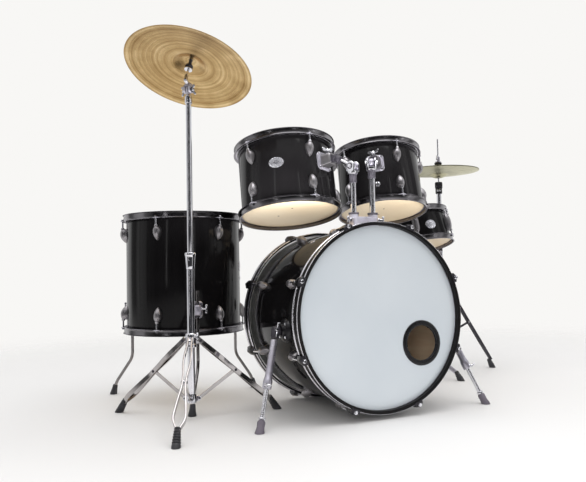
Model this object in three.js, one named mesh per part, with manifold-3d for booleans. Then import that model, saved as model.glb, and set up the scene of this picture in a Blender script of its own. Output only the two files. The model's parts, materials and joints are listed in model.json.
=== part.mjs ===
// Acoustic drum kit: 22 in bass drum, 13 in and 12 in rack toms, 16 in floor tom,
// 14 in snare, 16 in crash cymbal and 14 in hi-hats with their stands and pedals.
// Millimetres, +Z up. The bass drum's front head faces -Y.
import * as THREE from 'three';
import { mergeVertices } from 'three/addons/utils/BufferGeometryUtils.js';
import Module from 'manifold-3d';

const wasm = await Module();
wasm.setup();

// ---------------------------------------------------------------- dimensions
const ORIGIN = [126.08, 448.33];      // layout point that becomes X = Y = 0
const GAP = 0.4;                   // clearance between touching pieces

const BASS = { r: 279.4, wall: 8, z0: 17, z1: 423, hoopR: 295, hoopIn: 283.5, hoopW: 38, len: 440, zc: 310, tau: 1.95, lugs: 8 };
const PORT = { x: 145, y: 89, rIn: 55, rOut: 71.5 };
const SPUR = { pivot: [312, 118, 275], foot: [406.5, 24.4, 0], tubeR: 10.5, boreR: 7.4, rodR: 6.8 };
const TOM1 = { r: 165.1, len: 257, c: [-155, 361, 767], axis: [0.015, 0.212, 0.977], lug0: -157.9, lugs: 5, bracket: -63 };
const TOM2 = { r: 152.4, len: 247, c: [241.5, 389.5, 780.5], axis: [0.047, 0.223, 0.974], lug0: -167.4, lugs: 5, bracket: -125.9 };
const FLOOR = { r: 203.2, len: 421, c: [-456, 628, 453.5], axis: [0, 0, 1], lug0: -130.1, lugs: 6, legs: [-94, 14.8, 134.8], bends: [-120, 14.8, 134.8] };
const SNARE = { r: 177.8, len: 150, c: [524, 630, 604], axis: [-0.076, 0.224, 0.972], lug0: -51.6, lugs: 6, strainer: 98.4 };
const POST = { y: 111, x1: -35, x2: 36, r: 9.5, ball1: 790, ball2: 806 };
const CRASH = { x: -534, y: 265, feet: [-113.8, 6.2, 126.2], footR: 304, crownZ: 245, hubZ: 68, pinR: 28, hubR: 20, braceR: 148, lowTubeR: 11.5, boreR: 9.6, upTubeR: 9, lockZ: 467, tiltZ: 1028, cymZ: 1093, cymR: 203.2, cymAxis: [0.309, 0.233, 0.922] };
const HAT = { x: 747, y: 687, feet: [-17, 103, 223], footR: 230, pinZ: 400, r: 179, rimZ: 893, topZ: 1041, pedal: 165 };
const SSTAND = { feet: [-65.5, 54.5, 174.5], footR: 240, hubZ: 165, topZ: 450 };
const PEDAL = { axleY: 520, axleZ: 165, heelY: 712, heelZ: 24, toeY: 512, toeZ: 84 };

// ---------------------------------------------------------------- helpers
const rad = (d) => d * Math.PI / 180;
const V = (x, y, z) => new THREE.Vector3(x, y, z);

// A closed three.js geometry becomes a solid.
function solid(geo) {
  const g = geo.index ? geo.clone() : geo.clone();
  g.deleteAttribute('normal'); g.deleteAttribute('uv');
  const m = mergeVertices(g, 1e-4);
  const p = m.attributes.position.array, ix = m.index.array, tri = [];
  let vol = 0;
  for (let i = 0; i < ix.length; i += 3) {
    const [a, b, c] = [ix[i], ix[i + 1], ix[i + 2]];
    if (a === b || b === c || a === c) continue;
    tri.push(a, b, c);
    const A = V(p[3 * a], p[3 * a + 1], p[3 * a + 2]), B = V(p[3 * b], p[3 * b + 1], p[3 * b + 2]), C = V(p[3 * c], p[3 * c + 1], p[3 * c + 2]);
    vol += A.dot(B.cross(C));
  }
  if (vol < 0) for (let i = 0; i < tri.length; i += 3) [tri[i + 1], tri[i + 2]] = [tri[i + 2], tri[i + 1]];
  return new wasm.Manifold(new wasm.Mesh({ numProp: 3, vertProperties: Float32Array.from(p), triVerts: Uint32Array.from(tri) }));
}
const join = (list) => list.reduce((a, b) => a.add(b));
const cut = (a, list) => list.reduce((m, b) => m.subtract(b), a);

// A ring or disc turned about Z from a closed outline of [radius, height] pairs.
function turned(points, seg = 32) {
  const pts = points.map(([r, z]) => new THREE.Vector2(r, z));
  pts.push(pts[0].clone());
  const g = new THREE.LatheGeometry(pts, seg);
  g.rotateX(Math.PI / 2);
  return solid(g);
}
// A rod between two points; r2 is the radius at the second end.
function rod(a, b, r, seg = 8, r2 = r) {
  const A = V(...a), B = V(...b), d = B.clone().sub(A);
  const g = new THREE.CylinderGeometry(r2, r, d.length(), seg);
  g.rotateX(Math.PI / 2);
  const q = new THREE.Quaternion().setFromUnitVectors(V(0, 0, 1), d.clone().normalize());
  g.applyQuaternion(q);
  const c = A.add(B).multiplyScalar(0.5);
  g.translate(c.x, c.y, c.z);
  return solid(g);
}
// A tube between two points with an open bore.
function pipe(a, b, rOut, rIn, seg = 12, over = 1) {
  const A = V(...a), B = V(...b), u = B.clone().sub(A).normalize();
  const A2 = A.clone().addScaledVector(u, -over), B2 = B.clone().addScaledVector(u, over);
  return rod(a, b, rOut, seg).subtract(rod(A2.toArray(), B2.toArray(), rIn, seg));
}
// A box by size and centre, turned about Z.
function box(w, d, h, c, turn = 0) {
  const g = new THREE.BoxGeometry(w, d, h);
  g.rotateZ(turn); g.translate(c[0], c[1], c[2]);
  return solid(g);
}
// A bar of rectangular section between two points: wide across "side", thick across the other way.
function bar(a, b, wide, thick, side) {
  const A = V(...a), B = V(...b), u = B.clone().sub(A), L = u.length(); u.normalize();
  const s = V(...side).addScaledVector(u, -V(...side).dot(u)).normalize(), t = u.clone().cross(s);
  const g = new THREE.BoxGeometry(wide, thick, L);
  const c = A.add(B).multiplyScalar(0.5);
  g.applyMatrix4(new THREE.Matrix4().makeBasis(s, t, u).setPosition(c));
  return solid(g);
}
const below = (z = 0) => box(3000, 3000, 400, [0, 0, z - 200]);
const polar = (r, deg, z = 0) => [r * Math.cos(rad(deg)), r * Math.sin(rad(deg)), z];
const plus = (a, b) => [a[0] + b[0], a[1] + b[1], a[2] + b[2]];

const kit = new THREE.Group();
kit.position.set(-ORIGIN[0], -ORIGIN[1], 0);

const STEEL = [0xb9bbc2, 0.25, 1], BLACK = [0x1b1b1d, 0.35, 0.7], GUN = [0x55545b, 0.35, 0.9], GLOSS = [0x1a1a1c, 0.12, 0],
  FILM = [0xd5dce2, 0.35, 0], CLEAR = [0xd9c8a6, 0.3, 0], BRASS = [0xc2a26a, 0.3, 1], RUBBER = [0x2a2a2c, 0.85, 0], GREY = [0x8a8992, 0.45, 0.8];

function add(name, s, look, parent = kit) {
  const m = s.getMesh(), g = new THREE.BufferGeometry();
  const vp = m.vertProperties, n = m.numProp, pos = new Float32Array(vp.length / n * 3);
  for (let i = 0; i < vp.length / n; i++) for (let k = 0; k < 3; k++) pos[3 * i + k] = vp[n * i + k];
  g.setAttribute('position', new THREE.BufferAttribute(pos, 3));
  g.setIndex(new THREE.BufferAttribute(Uint32Array.from(m.triVerts), 1));
  g.computeVertexNormals();
  const mesh = new THREE.Mesh(g, new THREE.MeshStandardMaterial({ color: look[0], roughness: look[1], metalness: look[2] }));
  mesh.name = name;
  parent.add(mesh);
  return mesh;
}

// ---------------------------------------------------------------- bass drum
// Local frame: +Z runs from the front hoop to the rear hoop, +X to the right, +Y down.
const bass = new THREE.Group();
bass.position.set(0, 0, BASS.zc);
bass.rotation.x = -(Math.PI / 2 + rad(BASS.tau));
kit.add(bass);
{
  const B = BASS;
  const spurPad = (s) => {
    // Pad for the spur, on the side of the shell; its pivot boss faces outward.
    const y = (B.zc - SPUR.pivot[2]) - 4, z = SPUR.pivot[1];
    return join([box(22, 74, 70, [s * 283, y, z]), rod([s * 292, y, z], [s * 299, y, z], 19, 10)]);
  };
  const shell = turned([[B.r - B.wall, B.z0], [B.r, B.z0], [B.r, B.z1], [B.r - B.wall, B.z1]], 32);
  const inside = rod([0, 0, B.z0 - 5], [0, 0, B.z1 + 5], B.r - B.wall + 1, 32);
  add('bass_shell', shell.add(spurPad(-1).subtract(inside)).add(spurPad(1).subtract(inside)), GLOSS, bass);

  const hoop = (front) => {
    const e = front ? 0 : B.len, s = front ? 1 : -1;                 // e: outer edge, s: inward
    const ring = turned([[B.hoopIn, e], [B.hoopR, e], [B.hoopR, e + s * B.hoopW], [B.hoopIn, e + s * B.hoopW]], 32);
    const parts = [ring];
    for (let k = 0; k < B.lugs; k++) {
      const a = 22.5 + 45 * k, t = rad(a), c = (r, z) => [...polar(r, a).slice(0, 2), z];
      const bottomGap = Math.sin(t) > 0.9 && !front;                 // the rear hoop rests on the floor
      const top = bottomGap ? B.hoopR - 0.5 : B.hoopR + 7;
      parts.push(box(top - 287, 22, 46, c((top + 287) / 2, e + s * 23), t));      // claw over the hoop
      parts.push(box(6, 6, 60, c(B.hoopR - 4, e + s * 62), t));
      parts.push(box(17, 26, 38, c(B.r + GAP + 8.5, e + s * 100), t));            // lug casing
    }
    return join(parts);
  };
  add('bass_front_hoop', hoop(true), BLACK, bass);
  add('bass_rear_hoop', hoop(false), BLACK, bass);
  const head = (e, s) => turned([[0, e], [B.hoopIn - GAP, e], [B.hoopIn - GAP, e - s * 2], [0, e - s * 2]], 32);
  const hole = rod([PORT.x, PORT.y, -20], [PORT.x, PORT.y, 60], PORT.rIn + 3, 16);
  add('bass_front_head', head(B.z0 - GAP, 1).subtract(hole), FILM, bass);
  add('bass_rear_head', head(B.z1 + GAP, -1), FILM, bass);
  // Ring round the port hole, on the outer face of the head, with a lip through the hole.
  const zf = B.z0 - GAP - 2 - GAP;
  const ring = turned([[PORT.rIn, zf - 2.5], [PORT.rOut, zf - 2.5], [PORT.rOut, zf], [PORT.rIn + 2.5, zf], [PORT.rIn + 2.5, zf + 5], [PORT.rIn, zf + 5]], 16);
  const m = add('port_ring', ring, BLACK, bass);
  m.position.set(PORT.x, PORT.y, 0);
}

// Tom mount on top of the bass drum: a plinth that follows the shell, with two split sockets.
const shellTop = BASS.zc + BASS.r * 1.0006 - POST.y * Math.sin(rad(BASS.tau)) / 1;
{
  const y = POST.y, w = 104, d = 62;
  let b = join([box(w, d, 26, [0.5, y, shellTop + 7]), box(w - 20, d - 22, 22, [0.5, y, shellTop + 28])]);
  const drum = rod([0, -50, BASS.zc + 50 * Math.tan(rad(BASS.tau))], [0, 400, BASS.zc - 400 * Math.tan(rad(BASS.tau))], BASS.r + GAP + 0.3, 64);
  b = b.subtract(drum);
  for (const x of [POST.x1, POST.x2]) {
    b = b.add(rod([x, y, shellTop + 30], [x, y, shellTop + 52], 14, 10));
    b = b.subtract(rod([x, y, shellTop - 20], [x, y, shellTop + 60], POST.r + GAP + 0.3, 10));
  }
  add('tom_mount_base', b, STEEL);
}

// Spurs: a sleeve that swings on the pad and a rod that slides in it.
for (const [side, s] of [['left', -1], ['right', 1]]) {
  const P = V(s * SPUR.pivot[0], SPUR.pivot[1], SPUR.pivot[2]), F = V(s * SPUR.foot[0], SPUR.foot[1], SPUR.foot[2]);
  const at = (t) => P.clone().lerp(F, t).toArray();
  const neck = rod([s * 301.5, P.y, P.z], [s * 322, P.y, P.z], 15, 10);
  const tube = cut(join([rod(at(0), at(0.6), SPUR.tubeR, 10), rod(at(0.5), at(0.6), SPUR.tubeR + 3, 10), neck]), [rod(at(0.16), at(0.65), SPUR.boreR, 10)]);
  add(`spur_tube_${side}`, tube, GREY);
  const leg = join([rod(at(0.42), at(0.93), SPUR.rodR, 8), rod(at(0.87), at(1.1), 9.5, 8, 14)]).subtract(below());
  add(`spur_rod_${side}`, leg, STEEL);
}

// ---------------------------------------------------------------- drums with tension rods
// Local frame of every drum: +Z along its axis, origin at mid height.
function drumGroup(D) {
  const g = new THREE.Group();
  g.position.set(...D.c);
  g.quaternion.setFromUnitVectors(V(0, 0, 1), V(...D.axis).normalize());
  kit.add(g);
  return g;
}
function drum(name, D, o = {}) {
  const g = drumGroup(D), seg = o.seg ?? 24, half = D.len / 2, edge = half - 14, wall = 7;
  const hoopSolid = (s) => {
    const z = (v) => s * v;
    const parts = [turned([[D.r + 7.4, z(edge - 9)], [D.r + 12.4, z(edge - 9)], [D.r + 10.4, z(half)], [D.r + 7.4, z(half)]], seg)];
    for (let k = 0; k < D.lugs; k++) {
      const a = D.lug0 + 360 * k / D.lugs + (s < 0 ? (o.lowerTurn ?? 0) : 0), c = (r, h) => polar(r, a, s * h);
      parts.push(box(5.6, 6, edge - 6 - (o.lugTop ?? edge - 28), c(D.r + 12, (edge - 6 + (o.lugTop ?? edge - 28)) / 2), rad(a)));
      if (!o.longLug || s > 0) parts.push(box(15, 24, o.lugLen ?? 46, c(D.r + GAP + 7.5, (o.lugMid ?? edge - 50)), rad(a)));
    }
    return parts;
  };
  let shell = turned([[D.r - wall, -edge], [D.r, -edge], [D.r, edge], [D.r - wall, edge]], seg);
  if (o.extra) shell = shell.add(o.extra.subtract(rod([0, 0, -half], [0, 0, half], D.r - wall + 0.5, seg)));
  add(`${name}_shell`, shell, GLOSS, g);
  if (o.longLug) {
    const both = join([...hoopSolid(1)]);
    add(`${name}_top_hoop`, both, GUN, g);
    add(`${name}_bottom_hoop`, join(hoopSolid(-1).filter((_, i) => i === 0)), GUN, g);
  } else {
    add(`${name}_top_hoop`, join(hoopSolid(1)), GUN, g);
    add(`${name}_bottom_hoop`, join(hoopSolid(-1)), GUN, g);
  }
  const disc = (s) => turned([[0, s * (edge + GAP)], [D.r + 6.5, s * (edge + GAP)], [D.r + 6.5, s * (edge + GAP + 1.6)], [0, s * (edge + GAP + 1.6)]], seg);
  add(`${name}_batter_head`, disc(1), FILM, g);
  add(`${name}_resonant_head`, disc(-1), CLEAR, g);
  return g;
}
// A point given in layout coordinates, seen from a drum's own frame.
function inDrum(D, p) {
  const q = new THREE.Quaternion().setFromUnitVectors(V(0, 0, 1), V(...D.axis).normalize()).invert();
  return V(...p).sub(V(...D.c)).applyQuaternion(q).toArray();
}
function fromDrum(D, p) {
  const q = new THREE.Quaternion().setFromUnitVectors(V(0, 0, 1), V(...D.axis).normalize());
  return V(...p).applyQuaternion(q).add(V(...D.c)).toArray();
}

// Rack toms: post in the bass mount, jointed arm, bracket block on the shell.
function rackTom(name, D, x, ballZ) {
  const ball = [x, POST.y, ballZ];
  const face = inDrum(D, ball), dir = Math.atan2(face[1], face[0]) * 180 / Math.PI;
  const zb = 22, turn = rad(dir);
  const block = join([box(8, 62, 62, polar(D.r + 1.5, dir, zb), turn), box(36, 34, 34, polar(D.r + 20, dir, zb), turn)]);
  drum(name, D, { extra: block });
  const end = fromDrum(D, polar(D.r + 38 + 9, dir, zb));
  // Post: tube, dark collar and the two cheeks that hold the arm's eye.
  const u = V(end[0] - x, end[1] - POST.y, 0).normalize(), side = V(-u.y, u.x, 0);
  const cheek = (k) => bar(plus(ball, side.clone().multiplyScalar(k * 11.5).add(V(0, 0, -28)).toArray()), plus(ball, side.clone().multiplyScalar(k * 11.5).add(V(0, 0, 12)).toArray()), 20, 4, u.toArray());
  const post = join([rod([x, POST.y, shellTop + 6], [x, POST.y, ballZ - 44], POST.r, 12), rod([x, POST.y, ballZ - 52], [x, POST.y, ballZ - 24], 12.5, 12), cheek(-1), cheek(1),
    bar(plus(ball, side.clone().multiplyScalar(-13.5).add(V(0, 0, -25)).toArray()), plus(ball, side.clone().multiplyScalar(13.5).add(V(0, 0, -25)).toArray()), 20, 5, u.toArray())]);
  add(`${name}_post`, post, STEEL);
  // Arm: an eye between the cheeks and a rod to the bracket.
  const eye = rod(side.clone().multiplyScalar(-8.7).add(V(...ball)).toArray(), side.clone().multiplyScalar(8.7).add(V(...ball)).toArray(), 13, 12);
  const collar = V(...ball).lerp(V(...end), 1 - 26 / V(...ball).distanceTo(V(...end))).toArray();
  add(`${name}_arm`, join([eye, rod(ball, end, 6.5, 10), rod(collar, end, 13, 10)]), STEEL);
}
rackTom('tom1', TOM1, POST.x1, POST.ball1);
rackTom('tom2', TOM2, POST.x2, POST.ball2);

// Floor tom: shell with three leg brackets, each leg a bent rod with a rubber foot.
{
  const D = FLOOR, zBr = 300 - D.c[2] + 30, rl = D.r + 20;
  const bracket = (a) => join([box(8, 44, 56, polar(D.r + 2, a, zBr), rad(a)), box(30, 26, 40, polar(D.r + 17, a, zBr), rad(a))])
    .subtract(rod(polar(rl, a, zBr - 60), polar(rl, a, zBr + 60), 5.5 + GAP, 10));
  drum('floor_tom', D, { seg: 28, extra: join(D.legs.map(bracket)) });
  D.legs.forEach((a, i) => {
    const p = (r, z) => plus(plus([D.c[0], D.c[1], 0], polar(rl, a, z)), polar(r - rl, D.bends[i], 0));
    const leg = join([rod(p(rl, 140), p(rl, 395), 5.5, 8), rod(p(rl, 142.5), p(298, 44), 5.5, 8), rod(p(297, 48), p(308, 8), 5.5, 8), rod(p(301, 34), p(313, -14), 9, 8, 13)]).subtract(below());
    add(`floor_tom_leg_${i + 1}`, leg, STEEL);
  });
}

// Snare: long lugs between the hoops, strainer lever on the side.
{
  const D = SNARE;
  const strA = D.strainer;
  const strainer = box(22, 30, 60, polar(D.r + 2, strA, -6), rad(strA));
  const g = drum('snare', D, { longLug: true, lugTop: -46, lugMid: 0, lugLen: 74, extra: strainer });
  const e = polar(D.r + 19.5, strA, 0), t = polar(1, strA + 90);
  const lever = join([rod(plus(e, [t[0] * -11, t[1] * -11, 16]), plus(e, [t[0] * 11, t[1] * 11, 16]), 4, 8), bar(plus(e, [0, 0, 14]), plus(e, [0, 0, -30]), 4, 16, polar(1, strA))]);
  add('snare_strainer_lever', lever, STEEL, g);

  // Stand: tripod with a round tube, basket with three arms.
  const base = [D.c[0], D.c[1], 0], top = [D.c[0], D.c[1], SSTAND.topZ];
  const legs = SSTAND.feet.map((a) => {
    const p = (r, z) => plus(base, polar(r, a, z));
    return join([bar(p(8, SSTAND.hubZ), p(SSTAND.footR - 14, 24), 14, 8, [-Math.sin(rad(a)), Math.cos(rad(a)), 0]), rod(p(SSTAND.footR - 22, 32), p(SSTAND.footR + 6, -14), 9, 8, 13)]);
  });
  const tube = join([rod([D.c[0], D.c[1], 60], top, 11, 12), rod([D.c[0], D.c[1], SSTAND.hubZ - 16], [D.c[0], D.c[1], SSTAND.hubZ + 18], 19, 12), rod([D.c[0], D.c[1], SSTAND.topZ - 70], [D.c[0], D.c[1], SSTAND.topZ - 30], 16, 12)]);
  add('snare_stand_base', join([tube, ...legs]).subtract(below()), STEEL);
  const lowZ = -(D.len / 2) - GAP, hubL = inDrum(D, [D.c[0], D.c[1], SSTAND.topZ + 24]);
  const armSet = [12, 132, 252].map((a) => join([bar(polar(4, a, lowZ - 30), polar(D.r + 22, a, lowZ - 6), 12, 7, polar(1, a + 90)), bar(polar(D.r + 18.4, a, lowZ - 9), polar(D.r + 18.4, a, lowZ + 16), 16, 5, polar(1, a + 90)), bar(polar(D.r - 4, a, lowZ - 5.2), polar(D.r + 20, a, lowZ - 5.2), 16, 5, polar(1, a + 90))]));
  add('snare_basket', join([rod([hubL[0], hubL[1], hubL[2]], [0, 0, lowZ - 22], 13, 12), rod([0, 0, lowZ - 38], [0, 0, lowZ - 22], 20, 12), ...armSet]), STEEL, g);
}

// ---------------------------------------------------------------- crash cymbal stand
function cymbal(R, bow, bellR, bellH, t, seg) {
  const top = [[6.5, bow + bellH], [bellR * 0.62, bow + bellH * 0.8], [bellR, bow], [R, 0]];
  return turned([...top, ...top.slice().reverse().map(([r, z]) => [r, z - t])], seg);
}
{
  const C = CRASH, at = (z) => [C.x, C.y, z];
  const leg = (a) => {
    const p = (r, z) => plus([C.x, C.y, 0], polar(r, a, z)), t = polar(1, a + 90);
    const off = (q, k) => plus(q, [t[0] * k, t[1] * k, 0]);
    // Two flat straps side by side, pinned at the crown, joined at the foot.
    const straps = [-1, 1].map((k) => bar(off(p(C.pinR, C.crownZ), k * 5.5), off(p(C.footR - 12, 22), k * 4.6), 3, 12, t));
    return join([...straps, bar(p(C.footR - 46, 50), p(C.footR - 12, 22), 13, 13, t), rod(p(C.footR - 24, 33), p(C.footR + 12, -20), 9, 8, 14)]).subtract(below());
  };
  C.feet.forEach((a, i) => add(`crash_leg_${i + 1}`, leg(a), STEEL));
  const slope = (C.crownZ - 22) / (C.footR - 12 - C.pinR), braceZ = C.crownZ - slope * (C.braceR - C.pinR);
  C.feet.forEach((a, i) => {
    // Brace: a flat bar between the straps of its leg, free at its outer eye.
    const p = (r, z) => plus([C.x, C.y, 0], polar(r, a, z)), t = polar(1, a + 90);
    add(`crash_brace_${i + 1}`, join([bar(p(C.hubR + 4, C.hubZ), p(C.braceR, braceZ), 4, 10, t), rod(plus(p(C.hubR + 4, C.hubZ), [-2 * t[0], -2 * t[1], 0]), plus(p(C.hubR + 4, C.hubZ), [2 * t[0], 2 * t[1], 0]), 7, 10)]), STEEL);
  });
  // Crown slides on the tube and carries a lug for each leg; the lower hub closes the tube.
  const lugs = (z, r, w, h) => C.feet.map((a) => box(r, w, h, plus(at(z), polar(r / 2 + 12, a, 0)), rad(a)));
  let crown = join([rod(at(C.crownZ - 18), at(C.crownZ + 22), 17, 12), ...lugs(C.crownZ, 18, 7, 16)]);
  crown = crown.subtract(rod(at(C.crownZ - 30), at(C.crownZ + 40), C.lowTubeR + GAP, 12));
  add('crash_crown', crown, STEEL);
  const ears = C.feet.map((a) => join([-1, 1].map((k) => { const t = polar(1, a + 90); return box(20, 3, 16, plus(plus(at(C.hubZ), polar(18, a, 0)), [t[0] * k * 4.4, t[1] * k * 4.4, 0]), rad(a)); })));
  const col = join([rod(at(C.hubZ - 12), at(C.lockZ + 6), C.lowTubeR, 12), rod(at(C.hubZ - 12), at(C.hubZ + 14), 15, 12), ...ears,
    rod(at(C.lockZ), at(C.lockZ + 51), 12.5, 12, 16)]);
  add('crash_column', col.subtract(rod(at(C.hubZ + 20), at(C.lockZ + 60), C.boreR, 12)), STEEL);
  const up = join([rod(at(230), at(C.tiltZ - 26), C.upTubeR, 12), rod(at(C.tiltZ - 40), at(C.tiltZ - 14), 11, 12), bar(at(C.tiltZ - 16), at(C.tiltZ + 10), 5, 18, [Math.SQRT1_2, -Math.SQRT1_2, 0])]);
  add('crash_upper_tube', up, STEEL);
  // Tilter: fork round the tube's tongue, spindle along the cymbal axis.
  const ax = V(...C.cymAxis).normalize(), cc = at(C.cymZ), u = V(ax.x, ax.y, 0).normalize(), sd = V(-u.y, u.x, 0);
  const T = at(C.tiltZ), K = (k, z) => plus(T, sd.clone().multiplyScalar(k).add(V(0, 0, z)).toArray());
  const spEnd = V(...cc).addScaledVector(ax, 58).toArray();
  const spStart = V(...cc).addScaledVector(ax, -38).toArray();
  const fork = [-1, 1].map((k) => bar(K(k * 12, -10), K(k * 12, 20), 5, 18, sd.toArray()));
  add('crash_tilter', join([...fork, bar(K(-14, 18.5), K(14, 18.5), 18, 6, u.toArray()), rod(K(0, 18), spStart, 6, 10), rod(spStart, spEnd, 3.6, 8), rod(V(...cc).addScaledVector(ax, 30).toArray(), V(...cc).addScaledVector(ax, 43).toArray(), 5.6, 8), rod(V(...cc).addScaledVector(ax, 18).toArray(), V(...cc).addScaledVector(ax, 35.2).toArray(), 15, 12), rod(V(...cc).addScaledVector(ax, 41).toArray(), V(...cc).addScaledVector(ax, 54).toArray(), 9, 10)]), STEEL);
  const cg = new THREE.Group();
  cg.position.set(...cc);
  cg.quaternion.setFromUnitVectors(V(0, 0, 1), ax);
  kit.add(cg);
  const cym = cymbal(C.cymR, 20, 62, 19, 1.3, 24);
  add('crash_cymbal', cym, BRASS, cg);
}

// ---------------------------------------------------------------- hi-hat
{
  const H = HAT, at = (z) => [H.x, H.y, z];
  const legs = H.feet.map((a) => {
    const p = (r, z) => plus([H.x, H.y, 0], polar(r, a, z)), t = polar(1, a + 90);
    return join([bar(p(14, H.pinZ), p(H.footR - 10, 26), 10, 12, t), rod(p(H.footR - 16, 36), p(H.footR + 8, -18), 9, 8, 13)]);
  });
  const d = polar(1, H.pedal), n = polar(1, H.pedal + 90);
  const pd = (r, z, k = 0) => [H.x + d[0] * r + n[0] * k, H.y + d[1] * r + n[1] * k, z];
  const plate = [bar(pd(0, 3), pd(330, 3), 74, 6, n), bar(pd(0, 3), pd(0.1, 3), 74, 6, n)];
  const posts = [-1, 1].map((k) => rod(pd(0, 3, k * 30), pd(0, 112, k * 30), 5, 8));
  const heel = [-1, 1].map((k) => box(14, 5, 30, pd(318, 18, k * 30), rad(H.pedal)));
  let stand = join([rod(at(110), at(800), 11, 12), rod(at(H.pinZ - 22), at(H.pinZ + 22), 19, 12), bar(pd(0, 112, -36), pd(0, 112, 36), 18, 14, d), rod(at(792), at(818), 15, 12), rod(at(816), at(846), 17, 12, 21), ...legs, plate[0], ...posts, ...heel]);
  stand = stand.subtract(rod(at(60), at(900), 4.6, 10)).subtract(below());
  add('hihat_stand', stand, STEEL);
  const bottom = cymbal(H.r, 13, 50, 16, 1.3, 24);
  const gb = new THREE.Group();
  gb.position.set(H.x, H.y, H.rimZ - 2.2);
  gb.rotation.x = Math.PI;
  kit.add(gb);
  add('hihat_bottom_cymbal', bottom, BRASS, gb);
  const gt = new THREE.Group();
  gt.position.set(H.x, H.y, H.rimZ + 1.6);
  kit.add(gt);
  add('hihat_top_cymbal', cymbal(H.r, 13, 50, 16, 1.3, 24), BRASS, gt);
  const zt = H.rimZ + 1.6 + 29;
  const rodS = join([rod(at(66), at(H.topZ), 3.4, 6), rod(at(zt + GAP), at(zt + 10), 15, 12), rod(at(zt + 8), at(zt + 36), 8, 10), rod(at(zt - 12), at(zt + 4), 6, 8), rod(at(zt - 18), at(zt - 5.5), 11, 10), bar(pd(-9, 66), pd(9, 66), 14, 8, n)]);
  add('hihat_pull_rod', rodS, STEEL);
  const fb = bar(pd(24, 50), pd(306, 26), 66, 6, n);
  const barrel = rod(pd(308, 26, -24), pd(308, 26, 24), 6, 8);
  add('hihat_footboard', join([fb, barrel]), STEEL);
}

// ---------------------------------------------------------------- bass pedal
{
  const P = PEDAL;
  const frame = join([box(96, 250, 6, [0, 605, 3]), box(60, 34, 26, [0, 466, 13]), box(14, 24, P.axleZ + 14, [-43, P.axleY, (P.axleZ + 14) / 2]), box(14, 24, P.axleZ + 14, [43, P.axleY, (P.axleZ + 14) / 2]), box(100, 24, 12, [0, P.axleY, 6]), box(60, 60, 6, [0, 480, 3]),
    box(8, 24, 32, [-40, P.heelY + 2, 18]), box(8, 24, 32, [40, P.heelY + 2, 18])]);
  add('pedal_frame', frame.subtract(rod([-60, P.axleY, P.axleZ], [60, P.axleY, P.axleZ], 6.4, 10)), STEEL);
  const board = join([bar([0, P.heelY, P.heelZ], [0, P.toeY + 8, P.toeZ], 70, 6, [1, 0, 0]), rod([-35, P.heelY, P.heelZ], [35, P.heelY, P.heelZ], 6, 8)]);
  add('pedal_footboard', board, STEEL);
  const L = 165, a = rad(40), tip = [0, P.axleY + L * Math.sin(a), P.axleZ + L * Math.cos(a)], far = [0, P.axleY + (L + 20) * Math.sin(a), P.axleZ + (L + 20) * Math.cos(a)];
  const hx = [0, tip[1] + 22 * Math.cos(a), tip[2] - 22 * Math.sin(a)], hy = [0, tip[1] - 22 * Math.cos(a), tip[2] + 22 * Math.sin(a)];
  add('pedal_beater', join([rod([-48, P.axleY, P.axleZ], [48, P.axleY, P.axleZ], 5.6, 10), rod([-13, P.axleY, P.axleZ], [13, P.axleY, P.axleZ], 21, 14), rod([0, P.axleY, P.axleZ], far, 4, 8), rod(hx, hy, 24, 14)]), STEEL);
}

export default kit;
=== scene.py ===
import bpy, bmesh, math, json
from mathutils import Vector, Matrix, Quaternion


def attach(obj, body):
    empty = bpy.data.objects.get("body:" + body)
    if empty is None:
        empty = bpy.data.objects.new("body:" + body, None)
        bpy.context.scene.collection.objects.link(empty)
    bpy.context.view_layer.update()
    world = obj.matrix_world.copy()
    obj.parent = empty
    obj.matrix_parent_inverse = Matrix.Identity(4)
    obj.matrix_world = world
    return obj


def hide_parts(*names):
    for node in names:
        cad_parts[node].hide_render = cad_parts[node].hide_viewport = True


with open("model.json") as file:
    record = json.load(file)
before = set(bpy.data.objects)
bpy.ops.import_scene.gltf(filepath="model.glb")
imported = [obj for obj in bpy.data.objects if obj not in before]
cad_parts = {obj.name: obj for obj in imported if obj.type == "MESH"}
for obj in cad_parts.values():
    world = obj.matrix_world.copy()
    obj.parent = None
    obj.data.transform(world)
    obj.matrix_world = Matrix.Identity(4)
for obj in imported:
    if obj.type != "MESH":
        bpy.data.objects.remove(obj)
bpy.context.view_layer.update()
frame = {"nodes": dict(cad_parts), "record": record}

scene = bpy.context.scene
scene.view_settings.view_transform = "Standard"
scene.view_settings.look = "None"

# ------------------------------------------------------------------ dimensions (as in the CAD)
OX, OY = 126.08, 448.33
BASS = dict(r=279.4, wall=8, z0=17, z1=423, hoopR=295, hoopIn=283.5, hoopW=38, len=440, zc=310, tau=1.95)
PORT = dict(x=145, y=89, rIn=55, rOut=71.5)
SPUR = dict(pivot=(312, 118, 275), foot=(406.5, 24.4, 0), tubeR=10.5, rodR=6.8)
TOM1 = dict(r=165.1, len=257, c=(-155, 361, 767), axis=(0.015, 0.212, 0.977), lug0=-157.9, lugs=5)
TOM2 = dict(r=152.4, len=247, c=(241.5, 389.5, 780.5), axis=(0.047, 0.223, 0.974), lug0=-167.4, lugs=5)
FLOOR = dict(r=203.2, len=421, c=(-456, 628, 453.5), axis=(0, 0, 1), lug0=-130.1, lugs=6, legs=(-94, 14.8, 134.8), bends=(-120, 14.8, 134.8))
SNARE = dict(r=177.8, len=150, c=(524, 630, 604), axis=(-0.076, 0.224, 0.972), lug0=-51.6, lugs=6, strainer=98.4)
POST = dict(y=111, x1=-35, x2=36, r=9.5, ball1=790, ball2=806)
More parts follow.
